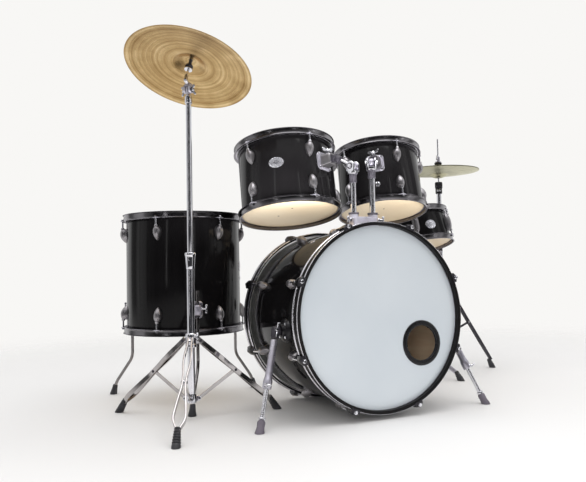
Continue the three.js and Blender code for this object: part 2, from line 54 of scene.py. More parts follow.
CRASH = dict(x=-534, y=265, feet=(-113.8, 6.2, 126.2), footR=304, crownZ=245, hubZ=68, pinR=28, hubR=20, braceR=148,
             lowTubeR=11.5, upTubeR=9, lockZ=467, tiltZ=1028, cymZ=1093, cymR=203.2, cymAxis=(0.309, 0.233, 0.922))
HAT = dict(x=747, y=687, feet=(-17, 103, 223), footR=230, pinZ=400, r=179, rimZ=893, topZ=1041, pedal=165)
SSTAND = dict(feet=(-65.5, 54.5, 174.5), footR=240, hubZ=165, topZ=450)
PEDAL = dict(axleY=520, axleZ=165, heelY=712, heelZ=24, toeY=512, toeZ=84)

# ------------------------------------------------------------------ camera
cam_data = bpy.data.cameras.new("camera")
cam = bpy.data.objects.new("camera", cam_data)
scene.collection.objects.link(cam)
cam_data.sensor_width = 36.0
cam_data.lens = 650.0 / 586.0 * 36.0
cam_data.clip_start, cam_data.clip_end = 0.05, 60.0
cam.location = (-1.2152, -2.1523, 0.4610)
HEAD, PITCH, ROLL = math.radians(24.755), math.radians(2.479), math.radians(1.025)
cam.rotation_mode = "QUATERNION"
cam.rotation_quaternion = (Matrix.Rotation(-HEAD, 3, "Z") @ Matrix.Rotation(math.pi / 2 + PITCH, 3, "X") @ Matrix.Rotation(-ROLL, 3, "Z")).to_quaternion()
scene.camera = cam

# ------------------------------------------------------------------ materials
def srgb(r, g, b):
    f = lambda c: (c / 255.0 / 12.92) if c / 255.0 <= 0.04045 else ((c / 255.0 + 0.055) / 1.055) ** 2.4
    return (f(r), f(g), f(b), 1.0)


def material(name, col, rough, metal=0.0, col2=None, scale=18.0, stretch=(1, 1, 1), rvar=0.06, bump=0.05, bscale=260.0,
             bdist=0.0004, coat=0.0, coat_rough=0.04, ior=1.5, spec=0.5, mixpos=(0.35, 0.7), edge_highlight=None, fine=None, sheen=0.0,
             transmission=0.0, aniso=0.0, detail=5.0):
    m = bpy.data.materials.new(name)
    m.use_nodes = True
    nt = m.node_tree
    N, L = nt.nodes, nt.links
    p = N["Principled BSDF"]
    tc = N.new("ShaderNodeTexCoord")
    mp = N.new("ShaderNodeMapping")
    mp.inputs["Scale"].default_value = stretch
    L.new(tc.outputs["Object"], mp.inputs["Vector"])
    n1 = N.new("ShaderNodeTexNoise")
    n1.inputs["Scale"].default_value = scale
    n1.inputs["Detail"].default_value = detail
    L.new(mp.outputs["Vector"], n1.inputs["Vector"])
    ramp = N.new("ShaderNodeValToRGB")
    ramp.color_ramp.elements[0].position, ramp.color_ramp.elements[1].position = mixpos
    ramp.color_ramp.elements[0].color = col
    ramp.color_ramp.elements[1].color = col2 or tuple(min(1.0, c * 1.12 + 0.002) for c in col[:3]) + (1,)
    L.new(n1.outputs["Fac"], ramp.inputs["Fac"])
    colour = ramp.outputs["Color"]
    # painted highlight: convex edges (found by Pointiness) are blended towards a lighter colour, standing in for the
    # glints on rims and edges
    if edge_highlight:
        geo = N.new("ShaderNodeNewGeometry")
        wr = N.new("ShaderNodeValToRGB")
        wr.color_ramp.elements[0].position, wr.color_ramp.elements[1].position = 0.53, 0.62
        L.new(geo.outputs["Pointiness"], wr.inputs["Fac"])
        mx = N.new("ShaderNodeMix")
        mx.data_type = "RGBA"
        L.new(wr.outputs["Color"], mx.inputs[0])
        L.new(colour, mx.inputs[6])
        mx.inputs[7].default_value = edge_highlight
        colour = mx.outputs[2]
    L.new(colour, p.inputs["Base Color"])
    n2 = N.new("ShaderNodeTexNoise")
    n2.inputs["Scale"].default_value = scale * 2.3
    n2.inputs["Detail"].default_value = 6.0
    L.new(mp.outputs["Vector"], n2.inputs["Vector"])
    mr = N.new("ShaderNodeMapRange")
    mr.inputs["From Min"].default_value, mr.inputs["From Max"].default_value = 0.3, 0.7
    mr.inputs["To Min"].default_value, mr.inputs["To Max"].default_value = max(0.02, rough - rvar), min(1.0, rough + rvar)
    L.new(n2.outputs["Fac"], mr.inputs["Value"])
    L.new(mr.outputs["Result"], p.inputs["Roughness"])
    n3 = N.new("ShaderNodeTexNoise")
    n3.inputs["Scale"].default_value = bscale
    n3.inputs["Detail"].default_value = 3.0
    L.new(mp.outputs["Vector"], n3.inputs["Vector"])
    bp = N.new("ShaderNodeBump")
    bp.inputs["Strength"].default_value = bump
    bp.inputs["Distance"].default_value = bdist
    L.new(n3.outputs["Fac"], bp.inputs["Height"])
    L.new(bp.outputs["Normal"], p.inputs["Normal"])
    p.inputs["Metallic"].default_value = metal
    p.inputs["IOR"].default_value = ior
    p.inputs["Specular IOR Level"].default_value = spec
    p.inputs["Coat Weight"].default_value = coat
    p.inputs["Coat Roughness"].default_value = coat_rough
    p.inputs["Anisotropic"].default_value = aniso
    p.inputs["Transmission Weight"].default_value = transmission
    return m


MAT = {}
MAT["gloss_black"] = material("lacquer_black", srgb(15, 14, 15), 0.1, col2=srgb(21, 20, 21), scale=5, rvar=0.04, bump=0.02, bscale=70, bdist=0.0006, coat=0.0, spec=0.13)
MAT["wood"] = material("maple_inside", srgb(232, 200, 166), 0.55, col2=srgb(246, 222, 192), scale=6, stretch=(9, 9, 1.0), rvar=0.08, bump=0.12, bscale=60, detail=8)
# the last colour given to the hoop, claw, gunmetal, lug and satin materials is a painted highlight blended onto their
# convex edges
MAT["hoop_black"] = material("hoop_smoked_metal", srgb(136, 134, 138), 0.18, metal=1.0, col2=srgb(156, 154, 158), scale=9, rvar=0.04, bump=0.02, edge_highlight=srgb(190, 186, 194))
# painted highlight: a light metal for the black hoop's rolled ridges, standing in for the bright lines they reflect
MAT["hoop_painted_highlight"] = material("hoop_ridge_painted_highlight", srgb(222, 220, 226), 0.26, metal=1.0, col2=srgb(236, 234, 240), scale=12, rvar=0.04, bump=0.02)
MAT["channel"] = material("channel_black", srgb(20, 19, 20), 0.4, col2=srgb(27, 26, 27), scale=14, rvar=0.06, bump=0.02, spec=0.14)
MAT["claw"] = material("claw_black", srgb(20, 20, 22), 0.28, metal=0.4, col2=srgb(32, 31, 34), scale=25, rvar=0.07, bump=0.05, edge_highlight=srgb(70, 68, 74))
MAT["gun"] = material("gunmetal", srgb(104, 102, 105), 0.2, metal=1.0, col2=srgb(124, 122, 125), scale=16, rvar=0.05, bump=0.03, edge_highlight=srgb(170, 166, 174))
MAT["lug"] = material("lug_smoked", srgb(146, 143, 146), 0.32, metal=0.95, col2=srgb(168, 165, 168), scale=30, rvar=0.06, bump=0.04, edge_highlight=srgb(190, 188, 192))
MAT["chrome"] = material("chrome", srgb(222, 222, 228), 0.07, metal=1.0, col2=srgb(236, 235, 240), scale=20, rvar=0.03, bump=0.012, bscale=120)
# painted shade: two darker copies of chrome, standing in for the darker reflections on the floor-tom legs and on the
# crash legs and braces
MAT["chrome_dark_painted_shade"] = material("chrome_dark_painted_shade", srgb(126, 122, 122), 0.1, metal=1.0, col2=srgb(150, 146, 146), scale=20, rvar=0.04, bump=0.012, bscale=120)
MAT["chrome_dim_painted_shade"] = material("chrome_dim_painted_shade", srgb(168, 164, 164), 0.07, metal=1.0, col2=srgb(192, 188, 188), scale=20, rvar=0.03, bump=0.012, bscale=120)
MAT["satin"] = material("satin_steel", srgb(172, 168, 180), 0.33, metal=0.85, col2=srgb(190, 187, 198), scale=40, rvar=0.07, bump=0.05, edge_highlight=srgb(214, 211, 220))
MAT["dark"] = material("dark_collar", srgb(52, 50, 56), 0.4, metal=0.5, col2=srgb(76, 73, 80), scale=60, rvar=0.08, bump=0.15, bscale=420)
MAT["rubber"] = material("rubber_black", srgb(38, 38, 41), 0.5, col2=srgb(56, 55, 60), scale=30, rvar=0.1, bump=0.3, bscale=500, spec=0.5)
MAT["rubber_grey"] = material("rubber_grey", srgb(112, 106, 116), 0.62, col2=srgb(88, 82, 92), scale=20, rvar=0.1, bump=0.25, bscale=480, spec=0.4)
MAT["felt"] = material("felt_black", srgb(26, 26, 28), 0.95, col2=srgb(52, 51, 54), scale=300, rvar=0.04, bump=0.8, bscale=900, bdist=0.0012, spec=0.2)
MAT["film_front"] = material("head_pale_film", srgb(198, 205, 211), 0.34, col2=srgb(206, 212, 217), scale=3, rvar=0.05, bump=0.03, bscale=30, coat=0.15, coat_rough=0.2)
MAT["film_coated"] = material("head_coated", srgb(226, 226, 222), 0.7, col2=srgb(236, 236, 233), scale=60, rvar=0.08, bump=0.35, bscale=900, spec=0.35)
MAT["film_tan"] = material("head_clear_over_wood", srgb(240, 216, 180), 0.42, col2=srgb(247, 228, 196), scale=4, rvar=0.05, bump=0.04, bscale=40, bdist=0.0006, spec=0.4)
MAT["film_edge"] = material("film_dot", srgb(120, 98, 74), 0.5, col2=srgb(140, 116, 90), scale=60)
MAT["badge"] = material("badge_silver", srgb(196, 196, 204), 0.28, metal=0.9, col2=srgb(216, 216, 222), scale=50, rvar=0.05, bump=0.05)
MAT["wire"] = material("wire_steel", srgb(176, 176, 182), 0.3, metal=1.0, col2=srgb(198, 198, 204), scale=80, rvar=0.05, bump=0.05)


def cymbal_material(name, c1, c2, c3, rough=0.27, hammer=0.5, metal=1.0, axis=(0, 0, 1), centre=(0, 0, 0)):
    """Lathed metal: fine grooves round the axis, wider tonal bands and soft hammer marks."""
    m = bpy.data.materials.new(name)
    m.use_nodes = True
    N, L = m.node_tree.nodes, m.node_tree.links
    p = N["Principled BSDF"]
    tc = N.new("ShaderNodeTexCoord")
    sub = N.new("ShaderNodeVectorMath"); sub.operation = "SUBTRACT"
    sub.inputs[1].default_value = tuple(c / 1000 for c in centre)
    L.new(tc.outputs["Object"], sub.inputs[0])
    com = N.new("ShaderNodeVectorMath"); com.operation = "CROSS_PRODUCT"
    com.inputs[1].default_value = tuple(Vector(axis).normalized())
    L.new(sub.outputs[0], com.inputs[0])
    ln = N.new("ShaderNodeVectorMath"); ln.operation = "LENGTH"
    L.new(com.outputs[0], ln.inputs[0])
    r = ln.outputs["Value"]

    def radial(scale, detail=2.0):
        mu = N.new("ShaderNodeMath"); mu.operation = "MULTIPLY"; mu.inputs[1].default_value = scale
        L.new(r, mu.inputs[0])
        n = N.new("ShaderNodeTexNoise"); n.noise_dimensions = "1D"
        n.inputs["Scale"].default_value = 1.0; n.inputs["Detail"].default_value = detail
        L.new(mu.outputs[0], n.inputs["W"])
        return n.outputs["Fac"]
    bands = radial(70.0, 3.0)
    grooves = radial(900.0, 1.0)
    ramp = N.new("ShaderNodeValToRGB")
    e = ramp.color_ramp.elements
    e[0].position, e[0].color = 0.3, c1
    e[1].position, e[1].color = 0.72, c3
    mid = e.new(0.5); mid.color = c2
    blot = N.new("ShaderNodeTexNoise"); blot.inputs["Scale"].default_value = 14.0; blot.inputs["Detail"].default_value = 5.0
    L.new(tc.outputs["Object"], blot.inputs["Vector"])
    mixf = N.new("ShaderNodeMix"); mixf.data_type = "FLOAT"; mixf.inputs[0].default_value = 0.45
    L.new(bands, mixf.inputs[2]); L.new(blot.outputs["Fac"], mixf.inputs[3])
    L.new(mixf.outputs[0], ramp.inputs["Fac"])
    L.new(ramp.outputs["Color"], p.inputs["Base Color"])
    mr = N.new("ShaderNodeMapRange")
    mr.inputs["From Min"].default_value, mr.inputs["From Max"].default_value = 0.3, 0.7
    mr.inputs["To Min"].default_value, mr.inputs["To Max"].default_value = rough - 0.07, rough + 0.09
    L.new(grooves, mr.inputs["Value"]); L.new(mr.outputs["Result"], p.inputs["Roughness"])
    vor = N.new("ShaderNodeTexVoronoi"); vor.feature = "SMOOTH_F1"; vor.inputs["Scale"].default_value = 42.0
    L.new(tc.outputs["Object"], vor.inputs["Vector"])
    b1 = N.new("ShaderNodeBump"); b1.inputs["Strength"].default_value = 0.35 * hammer; b1.inputs["Distance"].default_value = 0.002
    L.new(vor.outputs["Distance"], b1.inputs["Height"])
    b2 = N.new("ShaderNodeBump"); b2.inputs["Strength"].default_value = 0.35; b2.inputs["Distance"].default_value = 0.0003
    L.new(grooves, b2.inputs["Height"]); L.new(b1.outputs["Normal"], b2.inputs["Normal"])
    L.new(b2.outputs["Normal"], p.inputs["Normal"])
    p.inputs["Metallic"].default_value = metal
    p.inputs["Anisotropic"].default_value = 0.55
    tan = N.new("ShaderNodeTangent"); tan.direction_type = "UV_MAP"; tan.uv_map = "turn"
    L.new(tan.outputs["Tangent"], p.inputs["Tangent"])
    return m


MAT["crash"] = cymbal_material("crash_bronze", srgb(160, 127, 80), srgb(200, 168, 118), srgb(246, 218, 168), 0.3, 0.35, axis=CRASH["cymAxis"], centre=(CRASH["x"], CRASH["y"], CRASH["cymZ"]))
MAT["hat"] = cymbal_material("hat_bronze", srgb(176, 172, 140), srgb(192, 188, 158), srgb(212, 207, 178), 0.34, 0.3)

_slots = frame["record"].get("material_slots") or frame["record"].get("materials") or {}

# ------------------------------------------------------------------ mesh helpers
def vec(p):
    return Vector((float(p[0]), float(p[1]), float(p[2])))


def polar(r, deg, z=0.0):
    a = math.radians(deg)
    return Vector((r * math.cos(a), r * math.sin(a), z))


def basis(origin, z, x=None):
    """4x4 local frame: origin, +Z along z, +X as near x as it can be."""
    z = vec(z).normalized()
    if x is None:
        x = Vector((1, 0, 0)) if abs(z.x) < 0.9 else Vector((0, 1, 0))
    x = vec(x)
    x = (x - z * x.dot(z)).normalized()
    y = z.cross(x)
    m = Matrix((x, y, z)).transposed().to_4x4()
    m.translation = vec(origin)
    return m


def layout_matrix(origin=(0, 0, 0), rot=None):
    """Object matrix (metres, row frame) for a local frame whose origin is in layout millimetres."""
    m = rot.to_4x4() if rot is not None else Matrix.Identity(4)
    m.translation = Vector(((origin[0] - OX) / 1000, (origin[1] - OY) / 1000, origin[2] / 1000))
    return m


def lathe(prof, seg=48, closed=True, cap=True):
    """Turn [(r, z)...] about Z. closed joins the last point to the first; r = 0 makes a pole."""
    vs, rings = [], []
    for r, z in prof:
        if r < 1e-6:
            vs.append(Vector((0, 0, z))); rings.append([len(vs) - 1])
        else:
            rings.append([len(vs) + i for i in range(seg)])
            vs += [Vector((r * math.cos(2 * math.pi * i / seg), r * math.sin(2 * math.pi * i / seg), z)) for i in range(seg)]
    fs = []
    pairs = list(zip(rings, rings[1:])) + ([(rings[-1], rings[0])] if closed and len(rings[-1]) > 1 and len(rings[0]) > 1 else [])
    for A, B in pairs:
        if len(A) == 1 and len(B) == 1:
            continue
        for i in range(seg):
            j = (i + 1) % seg
            if len(A) == 1:
                fs.append((A[0], B[i], B[j]))
            elif len(B) == 1:
                fs.append((A[i], A[j], B[0]))
            else:
                fs.append((A[i], A[j], B[j], B[i]))
    if not closed and cap:
        for R in (rings[0], rings[-1]):
            if len(R) > 1:
                fs.append(tuple(R))
    return vs, fs


def loft(rings, cap=True, loop=False):
    n, vs, fs = len(rings[0]), [], []
    for R in rings:
        vs += [vec(p) for p in R]
    m = len(rings)
    for k in range(m if loop else m - 1):
        a, b = k * n, ((k + 1) % m) * n
        for i in range(n):
            j = (i + 1) % n
            fs.append((a + i, a + j, b + j, b + i))
    if cap and not loop:
        fs.append(tuple(range(n)))
        fs.append(tuple((m - 1) * n + i for i in range(n)))
    return vs, fs


def frames_along(path, up=None):
    pts = [vec(p) for p in path]
    T = []
    for i in range(len(pts)):
        a = pts[max(0, i - 1)]; b = pts[min(len(pts) - 1, i + 1)]
        d = b - a
        if 0 < i < len(pts) - 1:
            d = (pts[i] - a).normalized() + (b - pts[i]).normalized()
        T.append(d.normalized())
    out = []
    n = None
    for i, t in enumerate(T):
        if up is not None:
            n = vec(up)
        elif n is None:
            n = Vector((0, 0, 1)) if abs(t.z) < 0.9 else Vector((1, 0, 0))
        n = (n - t * n.dot(t)).normalized()
        out.append((pts[i], t, n, t.cross(n)))
    return out


def tube(path, r, seg=14, cap=True, radii=None):
    rings = []
    for i, (p, t, n, b) in enumerate(frames_along(path)):
        rr = radii[i] if radii else r
        rings.append([p + n * (rr * math.cos(2 * math.pi * k / seg)) + b * (rr * math.sin(2 * math.pi * k / seg)) for k in range(seg)])
    return loft(rings, cap)


def sweep(path, section, side):
    """section: [(along side, along the third way)...], carried along path with its first axis kept near side."""
    rings = []
    for p, t, n, b in frames_along(path, side):
        rings.append([p + n * u + b * v for u, v in section])
    return loft(rings)


def rounded(pts, radius, n=6):
    """A polyline with its corners rounded."""
    pts = [vec(p) for p in pts]
    out = [pts[0]]
    for a, b, c in zip(pts, pts[1:], pts[2:]):
        u, w = (a - b), (c - b)
        k = min(radius, u.length * 0.45, w.length * 0.45)
        p0, p1 = b + u.normalized() * k, b + w.normalized() * k
        for i in range(n + 1):
            t = i / n
            out.append(p0 * (1 - t) ** 2 + b * 2 * t * (1 - t) + p1 * t ** 2)
    out.append(pts[-1])
    return out


def along(a, b, prof, seg=24, closed=False):
    """Turn a profile [(radius, mm from a towards b)...] about the line from a to b."""
    vs, fs = lathe(prof, seg, closed)
    M = basis(a, vec(b) - vec(a))
    return [M @ v for v in vs], fs


def cyl(a, b, r, seg=24, ch=0.6):
    h = (vec(b) - vec(a)).length
    ch = min(ch, h * 0.3, r * 0.3)
    return along(a, b, [(0, 0), (r - ch, 0), (r, ch), (r, h - ch), (r - ch, h), (0, h)], seg)


def rbox(size, M=None, bev=2.0, seg=2, taper=None):
    bm = bmesh.new()
    bmesh.ops.create_cube(bm, size=1.0)
    for v in bm.verts:
        k = 1.0
        if taper and v.co.z > 0:
            k = taper
        v.co = Vector((v.co.x * size[0] * k, v.co.y * size[1] * k, v.co.z * size[2]))
    bmesh.ops.bevel(bm, geom=list(bm.edges), offset=min(bev, min(size) * 0.45), segments=seg, profile=0.5, affect="EDGES")
    bm.verts.index_update()
    vs = [v.co.copy() for v in bm.verts]
    fs = [tuple(v.index for v in f.verts) for f in bm.faces]
    bm.free()
    if M is not None:
        vs = [M @ v for v in vs]
    return vs, fs


def plate(outline, t, M=None, bev=0.7, seg=1):
    """A flat plate from a 2D outline, thickness t centred on z = 0, rim edges bevelled."""
    n = len(outline)
    ins = []
    for i in range(n):
        a, b, c = Vector(outline[i - 1]), Vector(outline[i]), Vector(outline[(i + 1) % n])
        d1, d2 = (b - a).normalized(), (c - b).normalized()
        nn = Vector((-(d1.y + d2.y), d1.x + d2.x))
        nn = nn.normalized() if nn.length > 1e-6 else Vector((-d1.y, d1.x))
        k = 1.0 / max(0.4, math.sqrt(max(0.05, (1 + d1.dot(d2)) / 2)))
        ins.append(nn * k)
    area = sum(outline[i][0] * outline[(i + 1) % n][1] - outline[(i + 1) % n][0] * outline[i][1] for i in range(n))
    s = 1 if area > 0 else -1
    rings = []
    for z, o in ((-t / 2, bev), (-t / 2 + bev, 0), (t / 2 - bev, 0), (t / 2, bev)):
        rings.append([(outline[i][0] + ins[i].x * o * s, outline[i][1] + ins[i].y * o * s, z) for i in range(n)])
    vs, fs = loft(rings)
    if M is not None:
        vs = [M @ v for v in vs]
    return vs, fs


def rrect(w, h, r, n=5, taper=1.0):
    """Rounded rectangle outline; taper narrows the top side."""
    out = []
    for cx, cy, a0 in ((w / 2 - r, h / 2 - r, 0), (-w / 2 + r, h / 2 - r, 90), (-w / 2 + r, -h / 2 + r, 180), (w / 2 - r, -h / 2 + r, 270)):
        for i in range(n + 1):
            a = math.radians(a0 + 90 * i / n)
            x, y = cx + r * math.cos(a), cy + r * math.sin(a)
            k = taper if y > 0 else 1.0
            out.append((x * k, y))
    return out


def hexhead(p, d, r=5.0, h=4.5, washer=True):
    """A bolt head standing on p, pointing along d."""
    out = []
    if washer:
        out.append(along(p, vec(p) + vec(d), [(0, 0), (r * 1.25, 0), (r * 1.25, 0.9), (r * 1.05, 1.4), (0, 1.4)], 16))
    vs, fs = lathe([(0, 1.2), (r * 0.98, 1.2), (r, 1.6), (r, h - 0.6), (r * 0.86, h), (0, h)], 6, False)
    M = basis(p, d)
    out.append(([M @ v for v in vs], fs))
    return out


def wingnut(p, axis, spread, size=15.0, hub=5.5, h=12.0):
    """Hub along axis at p with two raised, rounded wings spread along +-spread."""
    ax = vec(axis).normalized()
    out = [along(p, vec(p) + ax, [(0, 0), (hub, 0), (hub, h * 0.35), (hub * 0.8, h * 0.8), (hub * 0.5, h), (0, h)], 16)]
    for s in (-1, 1):
        w = vec(spread).normalized() * s
        M = basis(vec(p) + ax * (h * 0.5) + w * (hub * 0.6), w.cross(ax), w)
        pts = []
        for i in range(16):
            a = 2 * math.pi * i / 16
            x = (size * 0.52) * (1 + math.cos(a)) * 0.98
            y = math.sin(a) * size * (0.28 + 0.16 * (1 + math.cos(a)) / 2) + x * 0.34
            pts.append((x, y))
        out.append(plate(pts, 3.4, M, 1.0, 1))
    return out


def tbolt(p, d, bar_dir, length=16.0, barlen=26.0, r=3.2):
    """A T-handled bolt: shaft along d, rounded cross bar along bar_dir."""
    d, w = vec(d).normalized(), vec(bar_dir).normalized()
    e = vec(p) + d * length
    a, b = e - w * (barlen / 2), e + w * (barlen / 2)
    out = [cyl(p, e, r, 12, 0.5), along(p, e, [(0, 0), (r * 1.9, 0), (r * 1.9, 4), (r * 1.4, 5.5), (0, 5.5)], 14)]
    out.append(along(a, b, [(0, 0), (2.6, 0.5), (4.2, 3.0), (4.6, barlen * 0.18), (3.2, barlen * 0.36), (3.0, barlen * 0.64), (4.6, barlen * 0.82), (4.2, barlen - 3), (2.6, barlen - 0.5), (0, barlen)], 14))
    return out


def spoon(M, length=52.0, width=29.0, height=21.0, R=165.0, flip=1, rodr=4.6):
    """A long rounded lug on a drum wall. M: +X outward from the wall, +Z towards the hoop; the narrow end points away from it."""
    nz, nx = 22, 16
    rings = []
    for k in range(nz + 1):
        u = k / nz
        z = (-length / 2 + length * u) * flip
        w = width / 2 * (math.sin(math.pi / 2 * min(1.0, u / 0.66)) ** 0.66 if u < 0.66 else math.sqrt(max(0.05, 1.0 - ((u - 0.66) / 0.365) ** 2)))
        w = max(w, 0.6)
        hh = height * (math.sin(math.pi / 2 * min(1.0, u / 0.6)) ** 0.7 if u < 0.6 else 1.0 - 0.26 * ((u - 0.6) / 0.4) ** 2.4)
        hh = max(hh, 0.8)
        ring = []
        for i in range(nx + 1):
            t = -1 + 2 * i / nx
            a = t * math.pi / 2
            y = w * math.sin(a)
            x = hh * math.cos(a) ** 0.85
            ring.append(Vector((x - y * y / (2 * R) * (1 - math.cos(a)), y, z)))
        ring.append(Vector((-w * w / (2 * R) - 0.6, w, z)))
        ring.insert(0, Vector((-w * w / (2 * R) - 0.6, -w, z)))
        rings.append(ring)
    vs, fs = loft(rings)
    out = [([M @ v for v in vs], fs)]
    e0 = M @ Vector((height * 0.58, 0, flip * (length / 2 - 2)))
    e1 = M @ Vector((height * 0.58, 0, flip * (length / 2 + 4.5)))
    out.append(along(e0, e1, [(0, 0), (rodr + 2.2, 0), (rodr + 1.8, 4), (rodr + 0.4, 6.5), (0, 6.5)], 16))
    return out


PIECES = []


class Part:
    """Collects geometry by material in one local frame (mm), then makes one riding object per material."""
    def __init__(s, name, body, M=None, nodes=(), floor=False):
        s.name, s.body, s.M, s.nodes, s.floor = name, body, M or layout_matrix(), nodes, floor
        s.geo = {}

    def add(s, mat, *items, X=None):
        g = s.geo.setdefault(mat, ([], []))
        for it in items:
            its = it if isinstance(it, list) else [it]
            for vs, fs in its:
                o = len(g[0])
                g[0].extend([X @ v for v in vs] if X is not None else vs)
                g[1].extend([tuple(o + i for i in f) for f in fs])
        return s

    def done(s, angle=34.0):
        first = True
        for mat, (vs, fs) in s.geo.items():
            me = bpy.data.meshes.new(s.name + "_" + mat)
            me.from_pydata([tuple(v * 0.001) for v in vs], [], fs)
            bm = bmesh.new(); bm.from_mesh(me)
            bmesh.ops.remove_doubles(bm, verts=bm.verts, dist=1e-7)
            if s.floor:
                inv = s.M.inverted()
                co, no = inv @ Vector((0, 0, 0.0002)), (inv.to_3x3() @ Vector((0, 0, 1))).normalized()
                bmesh.ops.bisect_plane(bm, geom=bm.verts[:] + bm.edges[:] + bm.faces[:], plane_co=co, plane_no=no, clear_inner=True, dist=1e-7)
                be = [e for e in bm.edges if e.is_boundary]
                if be:
                    bmesh.ops.holes_fill(bm, edges=be, sides=0)
            bmesh.ops.recalc_face_normals(bm, faces=bm.faces)
            for f in bm.faces:
                f.smooth = True
            bm.to_mesh(me); bm.free()
            me.set_sharp_from_angle(angle=math.radians(angle))
            me.materials.append(MAT[mat])
            ob = bpy.data.objects.new(s.name + "_" + mat, me)
            scene.collection.objects.link(ob)
            ob.matrix_world = s.M
            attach(ob, s.body)
            if first and s.nodes:
                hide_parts(*s.nodes)
                first = False
            PIECES.append(ob)
        return s


# ------------------------------------------------------------------ bass drum
B = BASS
BM = layout_matrix((0, 0, B["zc"]), Matrix.Rotation(-math.radians(90 + B["tau"]), 3, "X"))
_bq = Matrix.Rotation(-math.radians(90 + B["tau"]), 3, "X")

shell = Part("bass_shell_v", "root", BM, ["bass_shell"])
R = B["r"]
shell.add("gloss_black", lathe([(R - 2.6, B["z0"] + 0.2), (R - 0.6, B["z0"] + 0.6), (R, B["z0"] + 2), (R, B["z1"] - 2), (R - 0.6, B["z1"] - 0.6), (R - 2.6, B["z1"] - 0.2), (R - 3.2, B["z1"] - 3), (R - 3.2, B["z0"] + 3)], 160))
shell.add("wood", lathe([(R - 3.4, B["z0"] + 1), (R - 3.4, B["z1"] - 1), (R - 6.5, B["z1"] - 1.5), (R - 8, B["z1"] - 6), (R - 8, B["z0"] + 6), (R - 6.5, B["z0"] + 1.5)], 128))
for s in (-1, 1):
    y0, z0 = 31.0, 118.0
    M = basis((s * 266, y0, z0), (s, 0, 0), (0, 0, 1))
    shell.add("claw", lathe([(0, 33), (15, 33), (18.5, 32), (20.5, 29), (22, 26.5), (29, 24), (34, 19), (36.5, 12), (37.2, 6), (37.2, 0), (0, 0)], 56, False), X=M)
    for k in range(4):
        a = math.radians(45 + 90 * k)
        p = M @ Vector((28 * math.cos(a), 28 * math.sin(a), 24.0))
        shell.add("chrome", along(p, M @ Vector((28 * math.cos(a), 28 * math.sin(a), 40.0)), [(0, -1), (4.4, -1), (4.4, 0.8), (3.0, 2.4), (0, 2.6)], 12))
# small vent grommet on the top left of the shell
for a in (-118.0,):
    p = polar(R, a, 210)
    shell.add("chrome", along(p, p * 1.0 + polar(10, a), [(0, 1.6), (4.2, 1.6), (5.2, 2.2), (8.4, 1.4), (9.2, 0.2), (9.2, -0.8), (0, -0.8)], 24))
shell.done()


def bass_hoop(front):
    e, s = (0, 1) if front else (B["len"], -1)
    nm = "bass_front_hoop" if front else "bass_rear_hoop"
    P = Part(nm + "_v", "root", BM, [nm])
    prof = [(283.6, 14.5), (283.6, 2.4), (284.4, 0.9), (285.8, 0.4), (287.2, 0.9), (288.4, 2.0), (290.2, 2.2), (291.6, 1.2), (293.0, 0.2), (294.4, 0.4), (295.3, 1.6), (295.5, 3.4),
            (295.2, 5.2), (294.0, 6.6), (292.4, 8.0), (291.9, 10.5), (292.1, 14), (292.9, 16.5), (293.6, 19.0), (292.9, 21.5), (292.1, 24), (291.9, 28), (292.4, 30.6), (294.0, 32.0),
            (295.2, 33.4), (295.5, 35.2), (294.9, 37.0), (293.6, 37.8), (290.5, 37.9), (288.6, 36.4), (288.2, 30), (288.0, 20), (285.6, 16.5)]
    # painted highlight: the whole hoop is turned in light metal so its rolled ridges show as bright lines; the black
    # bands below cover the trough and lips in the hoop's own black
    P.add("hoop_painted_highlight", lathe([(r, e + s * z) for r, z in prof], 160))
    for band in ([(292.8, 8.2), (293.9, 9.6), (293.9, 28.8), (292.8, 30.2), (291.0, 30.2), (291.0, 8.2)],
                 [(283.4, 14.6), (283.4, 0.6), (284.6, -0.2), (293.4, -0.2), (293.9, 0.2), (293.4, 1.6), (286.0, 2.6), (284.4, 14.6)],
                 [(287.4, 36.0), (290.4, 38.3), (292.6, 38.3), (292.6, 37.0), (289.0, 35.0)]):
        P.add("channel", lathe([(r, e + s * z) for r, z in band], 160))
    # flesh hoop of the head just behind the inner lip
    P.add("satin", lathe([(284.6, e + s * 18.6), (287.4, e + s * 18.6), (287.4, e + s * 27), (284.6, e + s * 27)], 120))
    for k in range(8):
        a = 22.5 + 45 * k
        X = Matrix.Rotation(math.radians(a), 4, "Z")
        # claw: hooks over the outer edge, side view in (r, z), spread along the hoop
        side = [(290.0, -2.6), (297.5, -3.6), (304.0, -2.6), (307.2, 1.5), (307.8, 9), (306.6, 24), (303.6, 38), (300.4, 44.5), (296.8, 45.5), (296.0, 42), (296.0, 4.0), (296.0, -0.4), (290.0, -0.2)]
        rings = []
        for j in range(9):
            t = -1 + 2 * j / 8
            yy = 14.5 * t
            drop = 4.6 * abs(t) ** 2.2
            ring = []
            for r, z in side:
                rr = r - (drop if r > 296.5 else 0) - (yy * yy) / (2 * 300)
                zz = z * (1 - 0.10 * abs(t) ** 2) + (0.6 * abs(t) if z < 0 else 0)
                ring.append((max(rr, 289.5 - (yy * yy) / 600), yy, e + s * zz))
            rings.append(ring)
        P.add("claw", loft(rings), X=X)
        d = (0, 0, -s)
        P.add("claw", along((300.2, 0, e + s * 4), (300.2, 0, e - s * 8), [(0, 0), (8.4, 0), (8.2, 6.6), (6.8, 8.6), (0, 8.6)], 20), X=X)
        P.add("chrome", hexhead((300.2, 0, e - s * 4.4), d, 4.9, 5.0), X=X)
        # rod from the claw to the lug
        P.add("chrome", cyl((300.0, 0, e + s * 43), (297.2, 0, e + s * 82), 3.0, 12, 0.3), X=X)
        sp = spoon(Matrix.Identity(4), 56, 30, 22, R, 1, 4.6)
        Mx = X @ Matrix(((1, 0, 0, R + 0.2), (0, 1, 0, 0), (0, 0, -s, e + s * 104), (0, 0, 0, 1)))
        P.add("lug", sp, X=Mx)
    P.done()


bass_hoop(True)
bass_hoop(False)


